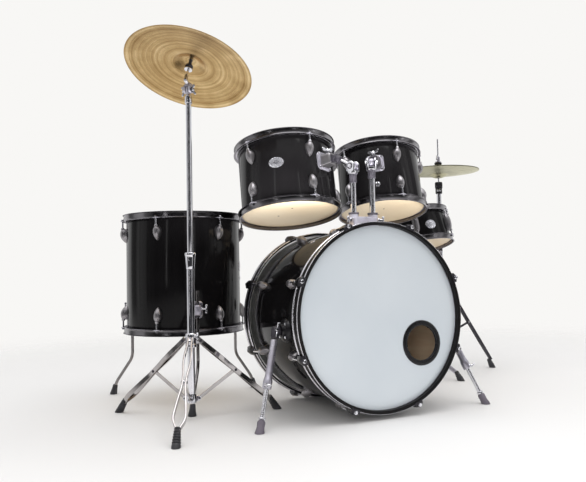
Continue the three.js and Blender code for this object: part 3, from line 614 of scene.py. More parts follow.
def disc_with_hole(R, hx, hy, hr, z, n=96, rings=14):
    """A flat round sheet with a round hole, meshed in rings between the hole and the rim."""
    rr = []
    for k in range(rings + 1):
        t = k / rings
        ring = []
        for i in range(n):
            a = 2 * math.pi * i / n
            inner = Vector((hx + hr * math.cos(a), hy + hr * math.sin(a), z))
            # rim point in the same direction from the hole centre
            c, s_ = math.cos(a), math.sin(a)
            bq = hx * c + hy * s_
            d = -bq + math.sqrt(bq * bq - (hx * hx + hy * hy - R * R))
            outer = Vector((hx + d * c, hy + d * s_, z))
            ring.append(inner.lerp(outer, t))
        rr.append(ring)
    return rr


zf = B["z0"] - 0.4
front = Part("bass_front_head_v", "root", BM, ["bass_front_head"])
A1 = disc_with_hole(B["hoopIn"] - 0.6, PORT["x"], PORT["y"], PORT["rIn"] + 3, zf - 2.0)
A2 = disc_with_hole(B["hoopIn"] - 0.6, PORT["x"], PORT["y"], PORT["rIn"] + 3, zf - 1.4)
for rg, sg in ((A1, 0.0), (A2, 0.0)):
    for ring in rg:
        for p in ring:
            r = math.hypot(p.x, p.y)
            if r > 268:                                             # collar: the film turns back just inside the hoop
                p.z += 2.2 * ((r - 268) / 15.0) ** 1.6
loop = A1 + A2[::-1]
front.add("film_front", loft(loop, cap=False, loop=True))
front.done(60)

ring = Part("port_ring_v", "root", BM, ["port_ring"])
zr = zf - 2.4
PX = Matrix.Translation((PORT["x"], PORT["y"], 0))
ring.add("claw", lathe([(55.2, zr + 5), (55.2, zr - 1.2), (56.4, zr - 2.3), (59.5, zr - 2.7), (66, zr - 2.6), (69.6, zr - 2.0), (71.2, zr - 0.9), (71.4, zr + 0.2), (57.4, zr + 0.3), (57.4, zr + 5)], 72), X=PX)
ring.done(50)

rear = Part("bass_rear_head_v", "root", BM, ["bass_rear_head"])
zb = B["z1"] + 0.4
rear.add("film_coated", lathe([(0, zb + 2.0), (262, zb + 2.0), (270, zb + 1.9), (276, zb + 1.0), (280, zb - 1.2), (282.4, zb - 5), (281.6, zb - 5.2), (278.6, zb - 1.4), (274, zb + 0.2), (262, zb + 1.3), (0, zb + 1.3)], 120, False))
rear.add("claw", lathe([(0, zb + 2.15), (34, zb + 2.15), (36, zb + 2.5), (34.5, zb + 3.0), (0, zb + 3.0)], 40, False))
rear.done(50)

# ------------------------------------------------------------------ tom mount on the bass drum
shellTop = B["zc"] + B["r"] * 1.0006 - POST["y"] * math.sin(math.radians(B["tau"]))
mount = Part("tom_mount_v", "root", None, ["tom_mount_base"])


def surf(x, y):
    return B["zc"] - y * math.tan(math.radians(B["tau"])) + math.sqrt(max(0.0, (B["r"] + 0.5) ** 2 - x * x)) * 1.0006


def mount_ring(w, d, r, z, hug=0.0):
    out = []
    for x, y in rrect(w, d, r, 7):
        X0, Y0 = x + 0.5, y + POST["y"]
        out.append(Vector((X0, Y0, z + (surf(X0, Y0) - shellTop) * hug)))
    return out


zt = shellTop
mount.add("satin", loft([mount_ring(108, 66, 18, zt + 0.6, 1.0), mount_ring(110, 68, 19, zt + 3.0, 1.0), mount_ring(109, 67, 18.6, zt + 6.5, 0.9), mount_ring(103, 61, 17, zt + 9.5, 0.7),
                         mount_ring(97, 54, 16, zt + 13, 0.3), mount_ring(93, 50, 15, zt + 20, 0.0), mount_ring(91, 48, 15, zt + 33, 0), mount_ring(89, 46, 14, zt + 37.5, 0), mount_ring(84, 41, 12, zt + 39.5, 0)]))
for x in (POST["x1"], POST["x2"]):
    mount.add("satin", along((x, POST["y"], zt + 36), (x, POST["y"], zt + 60), [(9.9, 0), (16.5, 0), (16.8, 3), (15.6, 9), (15.2, 15), (13.8, 17), (10.0, 17)], 32, True))
    mount.add("dark", along((x, POST["y"], zt + 47), (x, POST["y"], zt + 60), [(10.0, 0), (16.6, 0), (17.0, 1.5), (17.0, 5.5), (16.6, 7), (10.0, 7)], 32, True))
    mount.add("chrome", tbolt((x + (15 if x > 0 else -15), POST["y"] - 8, zt + 30), (1 if x > 0 else -1, -0.5, 0), (0, 0, 1), 17, 24, 3.2))
for sx in (-1, 1):
    for sy in (-1, 1):
        p = Vector((0.5 + sx * 44, POST["y"] + sy * 26, 0))
        p.z = surf(p.x, p.y) + 5.0
        mount.add("chrome", along(p, p + Vector((sx * 0.15, 0, 1)), [(0, 0), (4.6, 0), (4.6, 3.4), (3.2, 5), (0, 5)], 14))
mount.done()

# ------------------------------------------------------------------ spurs
for side, s in (("left", -1), ("right", 1)):
    Pv, Fv = Vector((s * SPUR["pivot"][0], SPUR["pivot"][1], SPUR["pivot"][2])), Vector((s * SPUR["foot"][0], SPUR["foot"][1], SPUR["foot"][2]))
    at = lambda t: Pv.lerp(Fv, t)
    D_ = (Fv - Pv).length
    sl = Part("spur_tube_%s_v" % side, "spur_sleeve_" + side, None, ["spur_tube_" + side])
    sl.add("dark", along((s * 300.6, Pv.y, Pv.z), (s * 330, Pv.y, Pv.z), [(0, 0.5), (15.5, 0.5), (16.5, 2), (16.5, 8), (15, 10), (14.6, 17), (12.5, 21), (0, 22)], 32))
    sl.add("dark", along(at(-0.035), at(0.2), [(0, 0), (9, 0), (12.4, 2.5), (13.4, 6), (13.4, 30), (12.2, 34), (11.2, 36), (0, 36)], 28))
    sl.add("satin", along(at(0.06), at(0.62), [(7.6, 12), (10.6, 12), (10.6, 70), (10.8, 118), (11.6, 128), (13.4, 134), (13.8, 138), (13.8, 156), (12.8, 159.5), (7.6, 160)], 28, True))
    ax = (Fv - Pv).normalized()
    out = Vector((s * 0.35, -1, 0.1)); out = (out - ax * out.dot(ax)).normalized()
    sl.add("chrome", tbolt(at(0.565) + out * 12, out, ax.cross(out), 14, 22, 2.8))
    # wing bolt that clamps the sleeve on its pad
    wdir = Vector((-0.35 if s < 0 else 0.35, -1, 0.2)).normalized()
    sl.add("chrome", cyl(Vector((s * 313, Pv.y - 10, Pv.z + 3)), Vector((s * 313, Pv.y - 10, Pv.z + 3)) + wdir * 15, 4.2, 16))
    sl.add("chrome", wingnut(Vector((s * 313, Pv.y - 10, Pv.z + 3)) + wdir * 13, wdir, (0.2, 0.05, 1), 17, 6, 12))
    sl.done()
    lg = Part("spur_rod_%s_v" % side, "spur_leg_" + side, None, ["spur_rod_" + side], floor=True)
    lg.add("chrome", cyl(at(0.42), at(0.9), SPUR["rodR"], 24))
    lg.add("chrome", along(at(0.855), at(1.2), [(0, 0), (7.4, 0), (10.2, 1.5), (10.8, 4), (10.4, 7.5), (8.2, 9.5), (0, 9.5)], 28))
    lg.add("rubber_grey", along(at(0.885), at(1.25), [(0, 0), (9.0, 0), (11.2, 2.5), (11.9, 7), (11.5, 12), (11.2, 18), (11.9, 24), (13.2, 30), (14.2, 35), (14.0, 40), (13.2, 60), (0, 60)], 32))
    lg.done()


# ------------------------------------------------------------------ drums
def drum_frame(D):
    q = Vector((0, 0, 1)).rotation_difference(vec(D["axis"]).normalized())
    return layout_matrix(D["c"], q.to_matrix())


def in_drum(D, p):
    q = Vector((0, 0, 1)).rotation_difference(vec(D["axis"]).normalized()).inverted()
    return q @ (vec(p) - vec(D["c"]))


def from_drum(D, p):
    q = Vector((0, 0, 1)).rotation_difference(vec(D["axis"]).normalized())
    return (q @ vec(p)) + vec(D["c"])


def badge(P, r, az, z, w=50.0, h=36.0):
    """A plain oval plate with a raised rim and three short bars, bent to the shell."""
    rings = []
    for rr, hh in ((1.0, -0.6), (1.0, 1.2), (0.97, 1.9), (0.91, 1.9), (0.87, 1.2), (0.5, 1.3), (0.05, 1.4)):
        ring = []
        for i in range(48):
            a = 2 * math.pi * i / 48
            y, zz = w / 2 * rr * math.cos(a), h / 2 * rr * math.sin(a)
            ring.append(Vector((r + hh - y * y / (2 * r), y, zz)))
        rings.append(ring)
    X = Matrix.Rotation(math.radians(az), 4, "Z") @ Matrix.Translation((0, 0, z))
    P.add("badge", loft(rings), X=X)
    for i, wid in ((-1, 12), (0, 20), (1, 12)):
        P.add("dark", rbox((0.9, wid, 2.2), Matrix.Translation((r + 1.5, 0, i * 4.6)), 0.4, 1), X=X)


def make_drum(name, D, body, long_lug=False, low_turn=0.0, badges=(), vents=(), shell_body=None, dots=()):
    M = drum_frame(D)
    r, half = D["r"], D["len"] / 2
    edge = half - 14
    sh = Part(name + "_shell_v", body, M, [name + "_shell"])
    sh.add("gloss_black", lathe([(r - 2.8, -edge), (r - 0.5, -edge + 0.4), (r, -edge + 1.6), (r, edge - 1.6), (r - 0.5, edge - 0.4), (r - 2.8, edge), (r - 3.0, edge - 2), (r - 3.0, -edge + 2)], 144))
    sh.add("wood", lathe([(r - 3.2, -edge + 0.8), (r - 3.2, edge - 0.8), (r - 5.5, edge - 1.2), (r - 7, edge - 5), (r - 7, -edge + 5), (r - 5.5, -edge + 1.2)], 96))
    for az, z in badges:
        badge(sh, r, az, z)
    for az, z in vents:
        p = polar(r, az, z)
        sh.add("chrome", along(p, p + polar(10, az), [(0, 1.4), (4.0, 1.4), (5.0, 2.4), (8.0, 1.8), (9.4, 0.4), (9.4, -1), (0, -1)], 28))
        sh.add("rubber", along(p, p + polar(10, az), [(0, 1.0), (3.9, 1.0), (3.9, 1.6), (0, 1.6)], 20))

    for s, hoop in ((1, "top"), (-1, "bottom")):
        H = Part("%s_%s_hoop_v" % (name, hoop), body, M, ["%s_%s_hoop" % (name, hoop)])
        # triple-flanged: outward foot, waist, upright band and a rolled outward lip
        prof = [(r + 7.6, edge - 9.4), (r + 13.6, edge - 9.6), (r + 14.8, edge - 8.8), (r + 14.8, edge - 7.8), (r + 13.4, edge - 7.2), (r + 10.6, edge - 6.8), (r + 9.6, edge - 5.4), (r + 9.4, edge - 2),
                (r + 9.4, edge + 8.4), (r + 10.0, edge + 10.6), (r + 11.8, edge + 11.6), (r + 12.9, edge + 12.4), (r + 12.9, edge + 13.5), (r + 11.6, edge + 13.95), (r + 9.2, edge + 13.6), (r + 7.8, edge + 12.4), (r + 7.4, edge + 9.5)]
        H.add("gun", lathe([(a, s * z) for a, z in prof], 144))
        for k in range(D["lugs"]):
            a = D["lug0"] + 360.0 * k / D["lugs"] + (low_turn if s < 0 else 0)
            X = Matrix.Rotation(math.radians(a), 4, "Z")
            ear = [(r + 8.2, -19), (r + 11.5, -17), (r + 15.5, -9), (r + 18.6, -5.2), (r + 19.6, 0), (r + 18.6, 5.2), (r + 15.5, 9), (r + 11.5, 17), (r + 8.2, 19)]
            H.add("satin", plate(ear, 2.8, Matrix.Translation((0, 0, s * (edge - 7.6))), 0.5), X=X)
            H.add("chrome", hexhead((r + 13.2, 0, s * (edge - 6.2)), (0, 0, s), 4.0, 6.0), X=X)
            if long_lug:
                z_in = 30.0
            else:
                z_in = edge - 31
            H.add("chrome", cyl((r + 12.6, 0, s * (edge - 8)), (r + 12.6, 0, s * (z_in - 2)), 3.0, 12, 0.2), X=X)
            if not long_lug:
                Mx = X @ Matrix(((1, 0, 0, r + 0.2), (0, 1, 0, 0), (0, 0, s, s * (edge - 60)), (0, 0, 0, 1)))
                H.add("lug", spoon(Matrix.Identity(4), 50, 29, 21, r, 1, 4.2), X=Mx)
            elif s > 0:
                rings = []
                for j in range(15):
                    t = -1 + 2 * j / 14
                    w = 14.5 * (1 - 0.30 * abs(t) ** 3)
                    hh = 20.5 * (1 - 0.35 * abs(t) ** 2.6)
                    ringp = [Vector((-1.2, -w, 34 * t))] + [Vector((hh * math.cos(q) ** 0.7, w * math.sin(q), 34 * t)) for q in [math.radians(-88 + 176 * i / 14) for i in range(15)]] + [Vector((-1.2, w, 34 * t))]
                    rings.append(ringp)
                H.add("lug", loft(rings), X=X @ Matrix.Translation((r + 0.2, 0, 0)))
                for e_ in (-1, 1):
                    H.add("lug", along((r + 12.6, 0, e_ * 31), (r + 12.6, 0, e_ * 40), [(0, 0), (6.4, 0), (6.0, 5), (4.6, 7.5), (0, 7.5)], 16), X=X)
        H.done()
    top = Part(name + "_batter_v", body, M, [name + "_batter_head"])
    z = edge + 0.4
    top.add("film_coated", lathe([(0, z + 1.4), (r - 6, z + 1.4), (r - 1, z + 1.2), (r + 1.4, z - 0.4), (r + 2.6, z - 4), (r + 1.9, z - 4), (r + 0.6, z - 0.6), (r - 2, z + 0.4), (0, z + 0.6)], 128, False))
    top.add("satin", lathe([(r + 2.8, z - 8), (r + 7.0, z - 8), (r + 7.0, z - 2.4), (r + 2.8, z - 2.4)], 96))
    top.done(50)
    bot = Part(name + "_reso_v", body, M, [name + "_resonant_head"])
    bot.add("film_tan", lathe([(0, -z - 1.2), (r - 10, -z - 1.2), (r - 3, -z - 1.3), (r - 0.5, -z - 1.0), (r + 1.4, -z + 0.4), (r + 2.6, -z + 4), (r + 1.9, -z + 4), (r + 0.6, -z + 0.6), (0, -z - 0.5)], 128, False))
    bot.add("satin", lathe([(r + 2.8, -z + 8), (r + 7.0, -z + 8), (r + 7.0, -z + 2.4), (r + 2.8, -z + 2.4)], 96))
    for dx, dy in dots:
        bot.add("film_edge", along((dx, dy, -z - 1.2), (dx, dy, -z - 4), [(0, 0), (3.4, 0), (3.2, 0.5), (0, 0.7)], 14))
    bot.done(50)
    return sh


def rack_tom(name, D, x, ballZ, badges=(), vents=(), dots=()):
    sh = make_drum(name, D, name, badges=badges, vents=vents, dots=dots)
    ball = Vector((x, POST["y"], ballZ))
    face = in_drum(D, ball)
    dirn = math.degrees(math.atan2(face.y, face.x))
    r, zb = D["r"], 22.0
    X = Matrix.Rotation(math.radians(dirn), 4, "Z") @ Matrix.Translation((0, 0, zb))
    # bracket: curved base plate, raised box with a window frame, wing nut on top
    rings = []
    for t, o in ((-1.2, 0.0), (3.0, 0.0), (5.2, 1.5), (6.6, 4.0)):
        rings.append([Vector((r + t - y * y / (2 * r), y, z)) for y, z in rrect(66 - 2 * o, 62 - 2 * o, 14, 6)])
    sh.add("satin", loft(rings), X=X)
    rings = [[Vector((r + t, y, z)) for y, z in rrect(w, h, 9, 6)] for t, w, h in ((2, 46, 46), (8, 44, 44), (12, 40, 42), (30, 37, 40), (35.5, 35, 38), (37.6, 31, 34))]
    sh.add("lug", loft(rings), X=X)
    sh.add("dark", loft([[Vector((r + t, y, z)) for y, z in rrect(w, h, 6, 5)] for t, w, h in ((37.2, 25, 27), (38.6, 24, 26), (39.0, 20, 22))]), X=X)
    for sy in (-1, 1):
        for sz in (-1, 1):
            p = Vector((r + 5.0 - 26 * 26 / (2 * r), sy * 26, sz * 24))
            sh.add("chrome", along(p, p + Vector((6, sy * 0.8, 0)), [(0, 0), (4.2, 0), (4.2, 3), (2.8, 4.6), (0, 4.6)], 14), X=X)
    sh.add("chrome", along((r + 20, 0, 18), (r + 20, 0, 36), [(0, 0), (7, 0), (7, 5), (4.4, 6), (4.4, 12), (0, 12)], 20), X=X)
    sh.add("chrome", wingnut((r + 20, 0, 28), (0, 0, 1), (0.35, 1, 0), 17, 6.2, 13), X=X)
    sh.done()
    end = from_drum(D, polar(r + 38 + 9, dirn, zb))
    u = Vector((end.x - x, end.y - POST["y"], 0)).normalized()
    side = Vector((-u.y, u.x, 0))
    po = Part(name + "_post_v", name + "_mount", None, [name + "_post"])
    po.add("chrome", cyl((x, POST["y"], shellTop + 6), (x, POST["y"], ballZ - 42), POST["r"], 36))
    base = Vector((x, POST["y"], ballZ - 54))
    prof = [(9.6, 0), (11.6, 0)]
    for i in range(12):
        prof += [(12.9, 1.6 + i * 2.0), (12.2, 2.6 + i * 2.0)]
    prof += [(13.2, 27), (14.4, 28.5), (14.4, 31.5), (9.6, 31.5)]
    po.add("dark", along(base, base + Vector((0, 0, 10)), prof, 36, True))
    rings = [[ball + side * yy + u * xx + Vector((0, 0, zz)) for xx, yy in rrect(w, h, rr_, 5)] for zz, w, h, rr_ in ((-26, 26, 28, 8), (-22, 30, 31, 9), (-17, 31, 31, 9), (-15.5, 30, 30, 9))]
    po.add("chrome", loft(rings))
    for k in (-1, 1):
        outl = []
        for i in range(28):
            a = 2 * math.pi * i / 28
            xx, zz = 16.5 * math.cos(a), 16.5 * math.sin(a)
            if zz < 0:
                xx = (15.5 if xx > 0 else -15.5) if abs(xx) > 9 else xx * 1.5
                zz = zz * 1.25
            outl.append((xx, zz))
        Mc = basis(ball + side * (k * 12.4), side, u)
        Mc = Matrix(((u.x, 0, side.x, 0), (u.y, 0, side.y, 0), (0, 1, 0, 0), (0, 0, 0, 1)))
        Mc.translation = ball + side * (k * 12.6)
        po.add("chrome", plate(outl, 5.4, Mc, 1.4, 1))
        po.add("chrome", hexhead(ball + side * (k * 15.2), side * k, 6.0, 5.5))
        po.add("dark", along(ball + side * (k * 15.0), ball + side * (k * 16.2), [(0, 0), (10.4, 0), (10.4, 0.8), (0, 0.8)], 28))
    po.done()
    ar = Part(name + "_arm_v", name, None, [name + "_arm"])
    sph = [(0, -9.4)] + [(13.4 * math.cos(math.radians(t)), 13.4 * math.sin(math.radians(t))) for t in range(-44, 45, 8)] + [(0, 9.4)]
    ar.add("satin", along(ball, ball + side, sph, 32))
    ar.add("chrome", cyl(ball + (end - ball).normalized() * 8, end, 6.6, 24))
    L_ = (end - ball).length
    ar.add("dark", along(ball.lerp(end, max(0.0, 1 - 27 / L_)), end, [(6.6, 0), (12.0, 0), (13.2, 1.6), (13.2, 18), (12.6, 20), (14.6, 21), (14.6, 26), (6.6, 26)], 28, True))
    ar.done()


rack_tom("tom1", TOM1, POST["x1"], POST["ball1"], badges=((-126, 14),), dots=((-18, -58), (-30, 34)))
rack_tom("tom2", TOM2, POST["x2"], POST["ball2"], vents=((-126, -56),), dots=((8, 40), (-10, -26)))

# ------------------------------------------------------------------ floor tom
D = FLOOR
ft = make_drum("floor_tom", D, "root", badges=((-24, 22),), vents=((-24, -22),))
zBr, rl = 300 - D["c"][2] + 30, D["r"] + 20
for a in D["legs"]:
    X = Matrix.Rotation(math.radians(a), 4, "Z") @ Matrix.Translation((0, 0, zBr))
    r = D["r"]
    ft.add("satin", loft([[Vector((r + t - y * y / (2 * r), y, z)) for y, z in rrect(46 - 2 * o, 58 - 2 * o, 12, 6)] for t, o in ((-1, 0), (2.6, 0), (4.6, 1.5), (5.6, 4))]), X=X)
    rings = [[Vector((r + t, y, z)) for y, z in rrect(w, h, 7, 5, 0.9)] for t, w, h in ((2, 30, 44), (12, 27, 42), (26, 24, 38), (32, 20, 33), (34, 15, 28))]
    ft.add("satin", loft(rings), X=X)
    ft.add("dark", along((r + 20, 0, -24), (r + 20, 0, -18), [(5.8, 0), (9.5, 0), (9.5, 5), (5.8, 5)], 20, True), X=X)
    ft.add("dark", along((r + 20, 0, 17), (r + 20, 0, 24), [(5.8, 0), (9.5, 0), (9.5, 5), (5.8, 5)], 20, True), X=X)
    ft.add("chrome", tbolt((r + 24, 11, 4), (0.45, 1, 0), (0, 0, 1), 18, 30, 3.4), X=X)
    for sz in (-1, 1):
        for sy in (-1, 1):
            p = Vector((r + 3.6 - 18 * 18 / (2 * r), sy * 17.5, sz * 22))
            ft.add("chrome", along(p, p + Vector((6, 0, 0)), [(0, 0), (3.4, 0), (3.4, 2.4), (2.2, 3.6), (0, 3.6)], 12), X=X)
ft.done()
for i, a in enumerate(D["legs"]):
    p = lambda rr, z: Vector((D["c"][0], D["c"][1], 0)) + polar(rl, a, z) + polar(rr - rl, D["bends"][i])
    lg = Part("floor_tom_leg_%d_v" % (i + 1), "floor_leg_%d" % (i + 1), None, ["floor_tom_leg_%d" % (i + 1)], floor=True)
    path = rounded([p(rl, 395), p(rl, 142), p(298, 44), p(311, -8)], 22, 8)
    # chrome leg drawn in a darker copy of chrome: painted shade for its darker reflections
    lg.add("chrome_dark_painted_shade", tube(path, 5.5, 18))
    d = (p(313, -14) - p(301, 34)).normalized()
    q = p(300.5, 36)
    lg.add("rubber", along(q, q + d, [(0, 0), (7.6, 0), (9.0, 2.5), (9.4, 8), (10.4, 18), (12.2, 28), (13.4, 33), (13.4, 60), (0, 60)], 28))
    lg.done()

# ------------------------------------------------------------------ snare
D = SNARE
SN = make_drum("snare", D, "snare", long_lug=True, badges=((-90, -10),), vents=((-30, -2),))
strA = D["strainer"]
X = Matrix.Rotation(math.radians(strA), 4, "Z")
SN.add("satin", loft([[Vector((D["r"] + t, y, z - 6)) for y, z in rrect(w, h, 6, 5)] for t, w, h in ((-1.5, 34, 64), (4, 34, 64), (9, 30, 60), (12.6, 26, 56), (13.4, 22, 52))]), X=X)
SN.add("chrome", along((D["r"] + 7, 0, 24), (D["r"] + 7, 0, 44), [(0, 0), (5, 0), (5, 6), (7.2, 7), (7.2, 15), (6.4, 16.5), (0, 16.5)], 20), X=X)
SN.done()
MS = drum_frame(D)
lv = Part("snare_lever_v", "snare_lever", MS, ["snare_strainer_lever"])
e, t = polar(D["r"] + 19.5, strA, 0), polar(1, strA + 90)
lv.add("chrome", cyl(e - t * 11 + Vector((0, 0, 16)), e + t * 11 + Vector((0, 0, 16)), 4.6, 18))
Ml = Matrix((t, Vector((0, 0, 1)), polar(1, strA))).transposed().to_4x4(); Ml.translation = e + Vector((0, 0, -8))
lv.add("chrome", plate(rrect(15, 46, 7, 6, 0.8), 4.2, Ml, 1.2, 1))
lv.done()

base = Vector((D["c"][0], D["c"][1], 0))
st = Part("snare_stand_v", "root", None, ["snare_stand_base"], floor=True)
for a in SSTAND["feet"]:
    p = lambda r, z: base + polar(r, a, z)
    tv = polar(1, a + 90)
    for k in (-1, 1):
        path = [p(12, SSTAND["hubZ"]) + tv * k * 5.5, p(70, 131) + tv * k * 7.5, p(150, 74) + tv * k * 7.5, p(SSTAND["footR"] - 26, 33) + tv * k * 5, p(SSTAND["footR"] - 12, 23) + tv * k * 2.2]
        st.add("satin", sweep(rounded(path, 14, 4), [(-1.6, -6), (1.6, -6), (2.0, -5), (2.0, 5), (1.6, 6), (-1.6, 6), (-2.0, 5), (-2.0, -5)], tv))
        st.add("satin", sweep([base + polar(14, a, 84) + tv * k * 3.4, p(70, 128) + tv * k * 6.0], [(-1.3, -4.5), (1.3, -4.5), (1.3, 4.5), (-1.3, 4.5)], tv))
    st.add("chrome", cyl(p(70, 129) - tv * 11, p(70, 129) + tv * 11, 3.6, 14))
    d = (p(SSTAND["footR"] + 6, -14) - p(SSTAND["footR"] - 22, 32)).normalized()
    q = p(SSTAND["footR"] - 24, 35)
    st.add("rubber", along(q, q + d, [(0, 0), (7.8, 0), (8.6, 2), (9.2, 6), (8.6, 8), (10.2, 11), (9.4, 14), (11.4, 18), (10.4, 21), (12.4, 26), (12.8, 32), (12.8, 60), (0, 60)], 26))
bz = lambda z: base + Vector((0, 0, z))
st.add("chrome", along(bz(60), bz(61), [(0, 0), (11.2, 0), (11.2, 320), (10.8, 322), (0, 322)], 32))
st.add("chrome", along(bz(60), bz(61), [(8.9, 320), (11.0, 320), (11.0, 389.6), (8.9, 389.6)], 32, True))
st.add("dark", along(bz(SSTAND["hubZ"] - 17), bz(0 + SSTAND["hubZ"]), [(11.2, 0), (18.5, 0), (19.5, 1.5), (19.5, 33), (18.5, 35), (11.2, 35)], 32, True))
st.add("dark", along(bz(70), bz(71), [(11.2, 0), (17, 0), (17.6, 2), (17.6, 24), (17, 26), (11.2, 26)], 32, True))
st.add("dark", along(bz(SSTAND["topZ"] - 72), bz(SSTAND["topZ"]), [(11.2, 0), (15.5, 0), (16.5, 2), (16.5, 34), (17.5, 38), (17.5, 44), (16.5, 45), (11.2, 45)], 32, True))
st.add("chrome", tbolt(bz(SSTAND["topZ"] - 50) + Vector((-9, -13, 0)), (-0.57, -0.82, 0), (0, 0, 1), 16, 28, 3.4))
st.done()
lowZ = -(D["len"] / 2) - 0.4
hub = in_drum(D, (D["c"][0], D["c"][1], SSTAND["topZ"] + 24))
bk = Part("snare_basket_v", "snare", MS, ["snare_basket"])
bk.add("dark", cyl(hub, (0, 0, lowZ - 22), 13, 28, 2))
bk.add("dark", along((0, 0, lowZ - 39), (0, 0, lowZ - 20), [(0, 0), (18, 0), (20, 2.5), (20, 15), (17, 18), (0, 18)], 32))
for a in (12, 132, 252):
    tv = polar(1, a + 90)
    path = rounded([polar(6, a, lowZ - 30), polar(D["r"] * 0.55, a, lowZ - 22), polar(D["r"] + 14, a, lowZ - 10), polar(D["r"] + 19.5, a, lowZ - 2), polar(D["r"] + 18.6, a, lowZ + 15)], 16, 5)
    bk.add("satin", sweep(path, [(-6.5, -3), (6.5, -3), (7, -2.2), (7, 2.2), (6.5, 3), (-6.5, 3), (-7, 2.2), (-7, -2.2)], tv))
    bk.add("rubber", loft([[Vector((xx, yy, z)) for xx, yy in rrect(8, 20, 2.5, 4)] for z in (0, 2, 22, 24)]), X=Matrix.Rotation(math.radians(a), 4, "Z") @ Matrix.Translation((D["r"] + 18.2, 0, lowZ - 8)))
bk.done()

# ------------------------------------------------------------------ crash cymbal stand
C = CRASH
cat = lambda z: Vector((C["x"], C["y"], z))


def ribbed_foot(P, q, d, mat="rubber", length=60, r0=8.6, r1=12.6, ribs=5, top=True):
    prof = [(0, 0), (r0 - 1.2, 0)]
    step = 7.4
    for i in range(ribs):
        t = i / (ribs - 1)
        rr = r0 + (r1 - r0) * t
        z = 1.0 + i * step
        prof += [(rr - 2.6, z), (rr - 0.3, z + 1.0), (rr, z + 2.4), (rr - 0.3, z + 4.2), (rr - 2.6, z + 5.2)]
    prof += [(r1, ribs * step + 2.2), (r1 + 0.3, ribs * step + 6), (r1, length), (0, length)]
    P.add(mat, along(q, q + d, prof, 26))


strap_sec = [(-2.5, -6.4), (-1.2, -7.2), (1.2, -7.2), (2.5, -6.4), (2.5, 6.4), (1.2, 7.2), (-1.2, 7.2), (-2.5, 6.4)]
for i, a in enumerate(C["feet"]):
    tv = polar(1, a + 90)
    p = lambda r, z: Vector((C["x"], C["y"], 0)) + polar(r, a, z)
    lgp = Part("crash_leg_%d_v" % (i + 1), "leg_%d" % (i + 1), None, ["crash_leg_%d" % (i + 1)], floor=True)
    top, foot = p(C["pinR"], C["crownZ"]), p(C["footR"] - 12, 22)
    at = lambda t: top.lerp(foot, t)
    for k in (-1, 1):
        knots = [(-0.03, 6.0), (0.06, 6.2), (0.16, 10.5), (0.27, 10.5), (0.38, 5.6), (0.46, 4.9), (0.52, 5.2), (0.63, 11.0), (0.80, 17.5), (0.85, 15.5), (0.925, 3.6), (0.955, 3.0)]
        path = rounded([at(t) + tv * (k * o) for t, o in knots], 14, 4)
        # chrome straps drawn in a darker copy of chrome: painted shade for their darker reflections
        lgp.add("chrome_dim_painted_shade", sweep(path, strap_sec, tv))
    lgp.add("chrome", cyl(top - tv * 10, top + tv * 10, 4.2, 16, 0.8))
    for k in (-1, 1):
        lgp.add("dark", along(top + tv * k * 8.2, top + tv * k * 11.2, [(0, 0), (5.2, 0), (4.6, 2.0), (0, 2.6)], 16))
    pin = at((C["braceR"] - C["pinR"]) / (C["footR"] - 12 - C["pinR"]))
    lgp.add("chrome", cyl(pin - tv * 9.4, pin + tv * 9.4, 3.2, 14, 0.6))
    for k in (-1, 1):
        lgp.add("dark", along(pin + tv * k * 7.2, pin + tv * k * 10.2, [(0, 0), (4.6, 0), (4.0, 2.0), (0, 2.6)], 14))
    d = (p(C["footR"] + 12, -20) - p(C["footR"] - 24, 33)).normalized()
    q = p(C["footR"] - 33, 45)
    ribbed_foot(lgp, q, d, length=74, r0=9.4, r1=12.4, ribs=6)
    lgp.done()
    # brace
    braceZ = C["crownZ"] - (C["crownZ"] - 22) / (C["footR"] - 12 - C["pinR"]) * (C["braceR"] - C["pinR"])
    br = Part("crash_brace_%d_v" % (i + 1), "brace_%d" % (i + 1), None, ["crash_brace_%d" % (i + 1)])
    A_, B_ = p(C["hubR"] + 4, C["hubZ"]), p(C["braceR"], braceZ)
    # chrome brace drawn in a darker copy of chrome: painted shade for its darker reflections
    br.add("chrome_dim_painted_shade", sweep([A_.lerp(B_, t) for t in (0, 0.06, 0.5, 0.94, 1.0)], [(-1.9, -4.6), (-1.2, -5.4), (1.2, -5.4), (1.9, -4.6), (1.9, 4.6), (1.2, 5.4), (-1.2, 5.4), (-1.9, 4.6)], tv))
    for q_ in (A_, B_):
        br.add("chrome", along(q_ - tv * 2.1, q_ + tv, [(0, 0), (6.6, 0), (7.2, 0.7), (7.2, 3.5), (6.6, 4.2), (0, 4.2)], 24))
    br.done()

cr = Part("crash_crown_v", "crown", None, ["crash_crown"])
cr.add("chrome", along(cat(C["crownZ"] - 19), cat(C["crownZ"]), [(12.0, 0), (16.4, 0), (17.4, 1.4), (17.4, 9), (15.6, 11), (15.6, 29), (17.4, 31), (17.6, 36), (16.6, 41), (14.8, 43), (12.0, 43)], 36, True))
for a in C["feet"]:
    X = Matrix.Translation(cat(C["crownZ"])) @ Matrix.Rotation(math.radians(a), 4, "Z")
    outl = [(12, -9), (24, -9), (29, -8.2), (32.6, -4.4), (33.6, 0), (32.6, 4.4), (29, 8.2), (24, 9.4), (12, 13)]
    Mx = X @ Matrix(((1, 0, 0, 0), (0, 0, -1, 0), (0, 1, 0, 0), (0, 0, 0, 1)))
    cr.add("chrome", plate(outl, 7.0, Mx, 1.0, 1))
cr.add("chrome", tbolt(cat(C["crownZ"] + 16) + polar(15, -60), polar(1, -60), (0, 0, 1), 12, 22, 2.8))
cr.done()

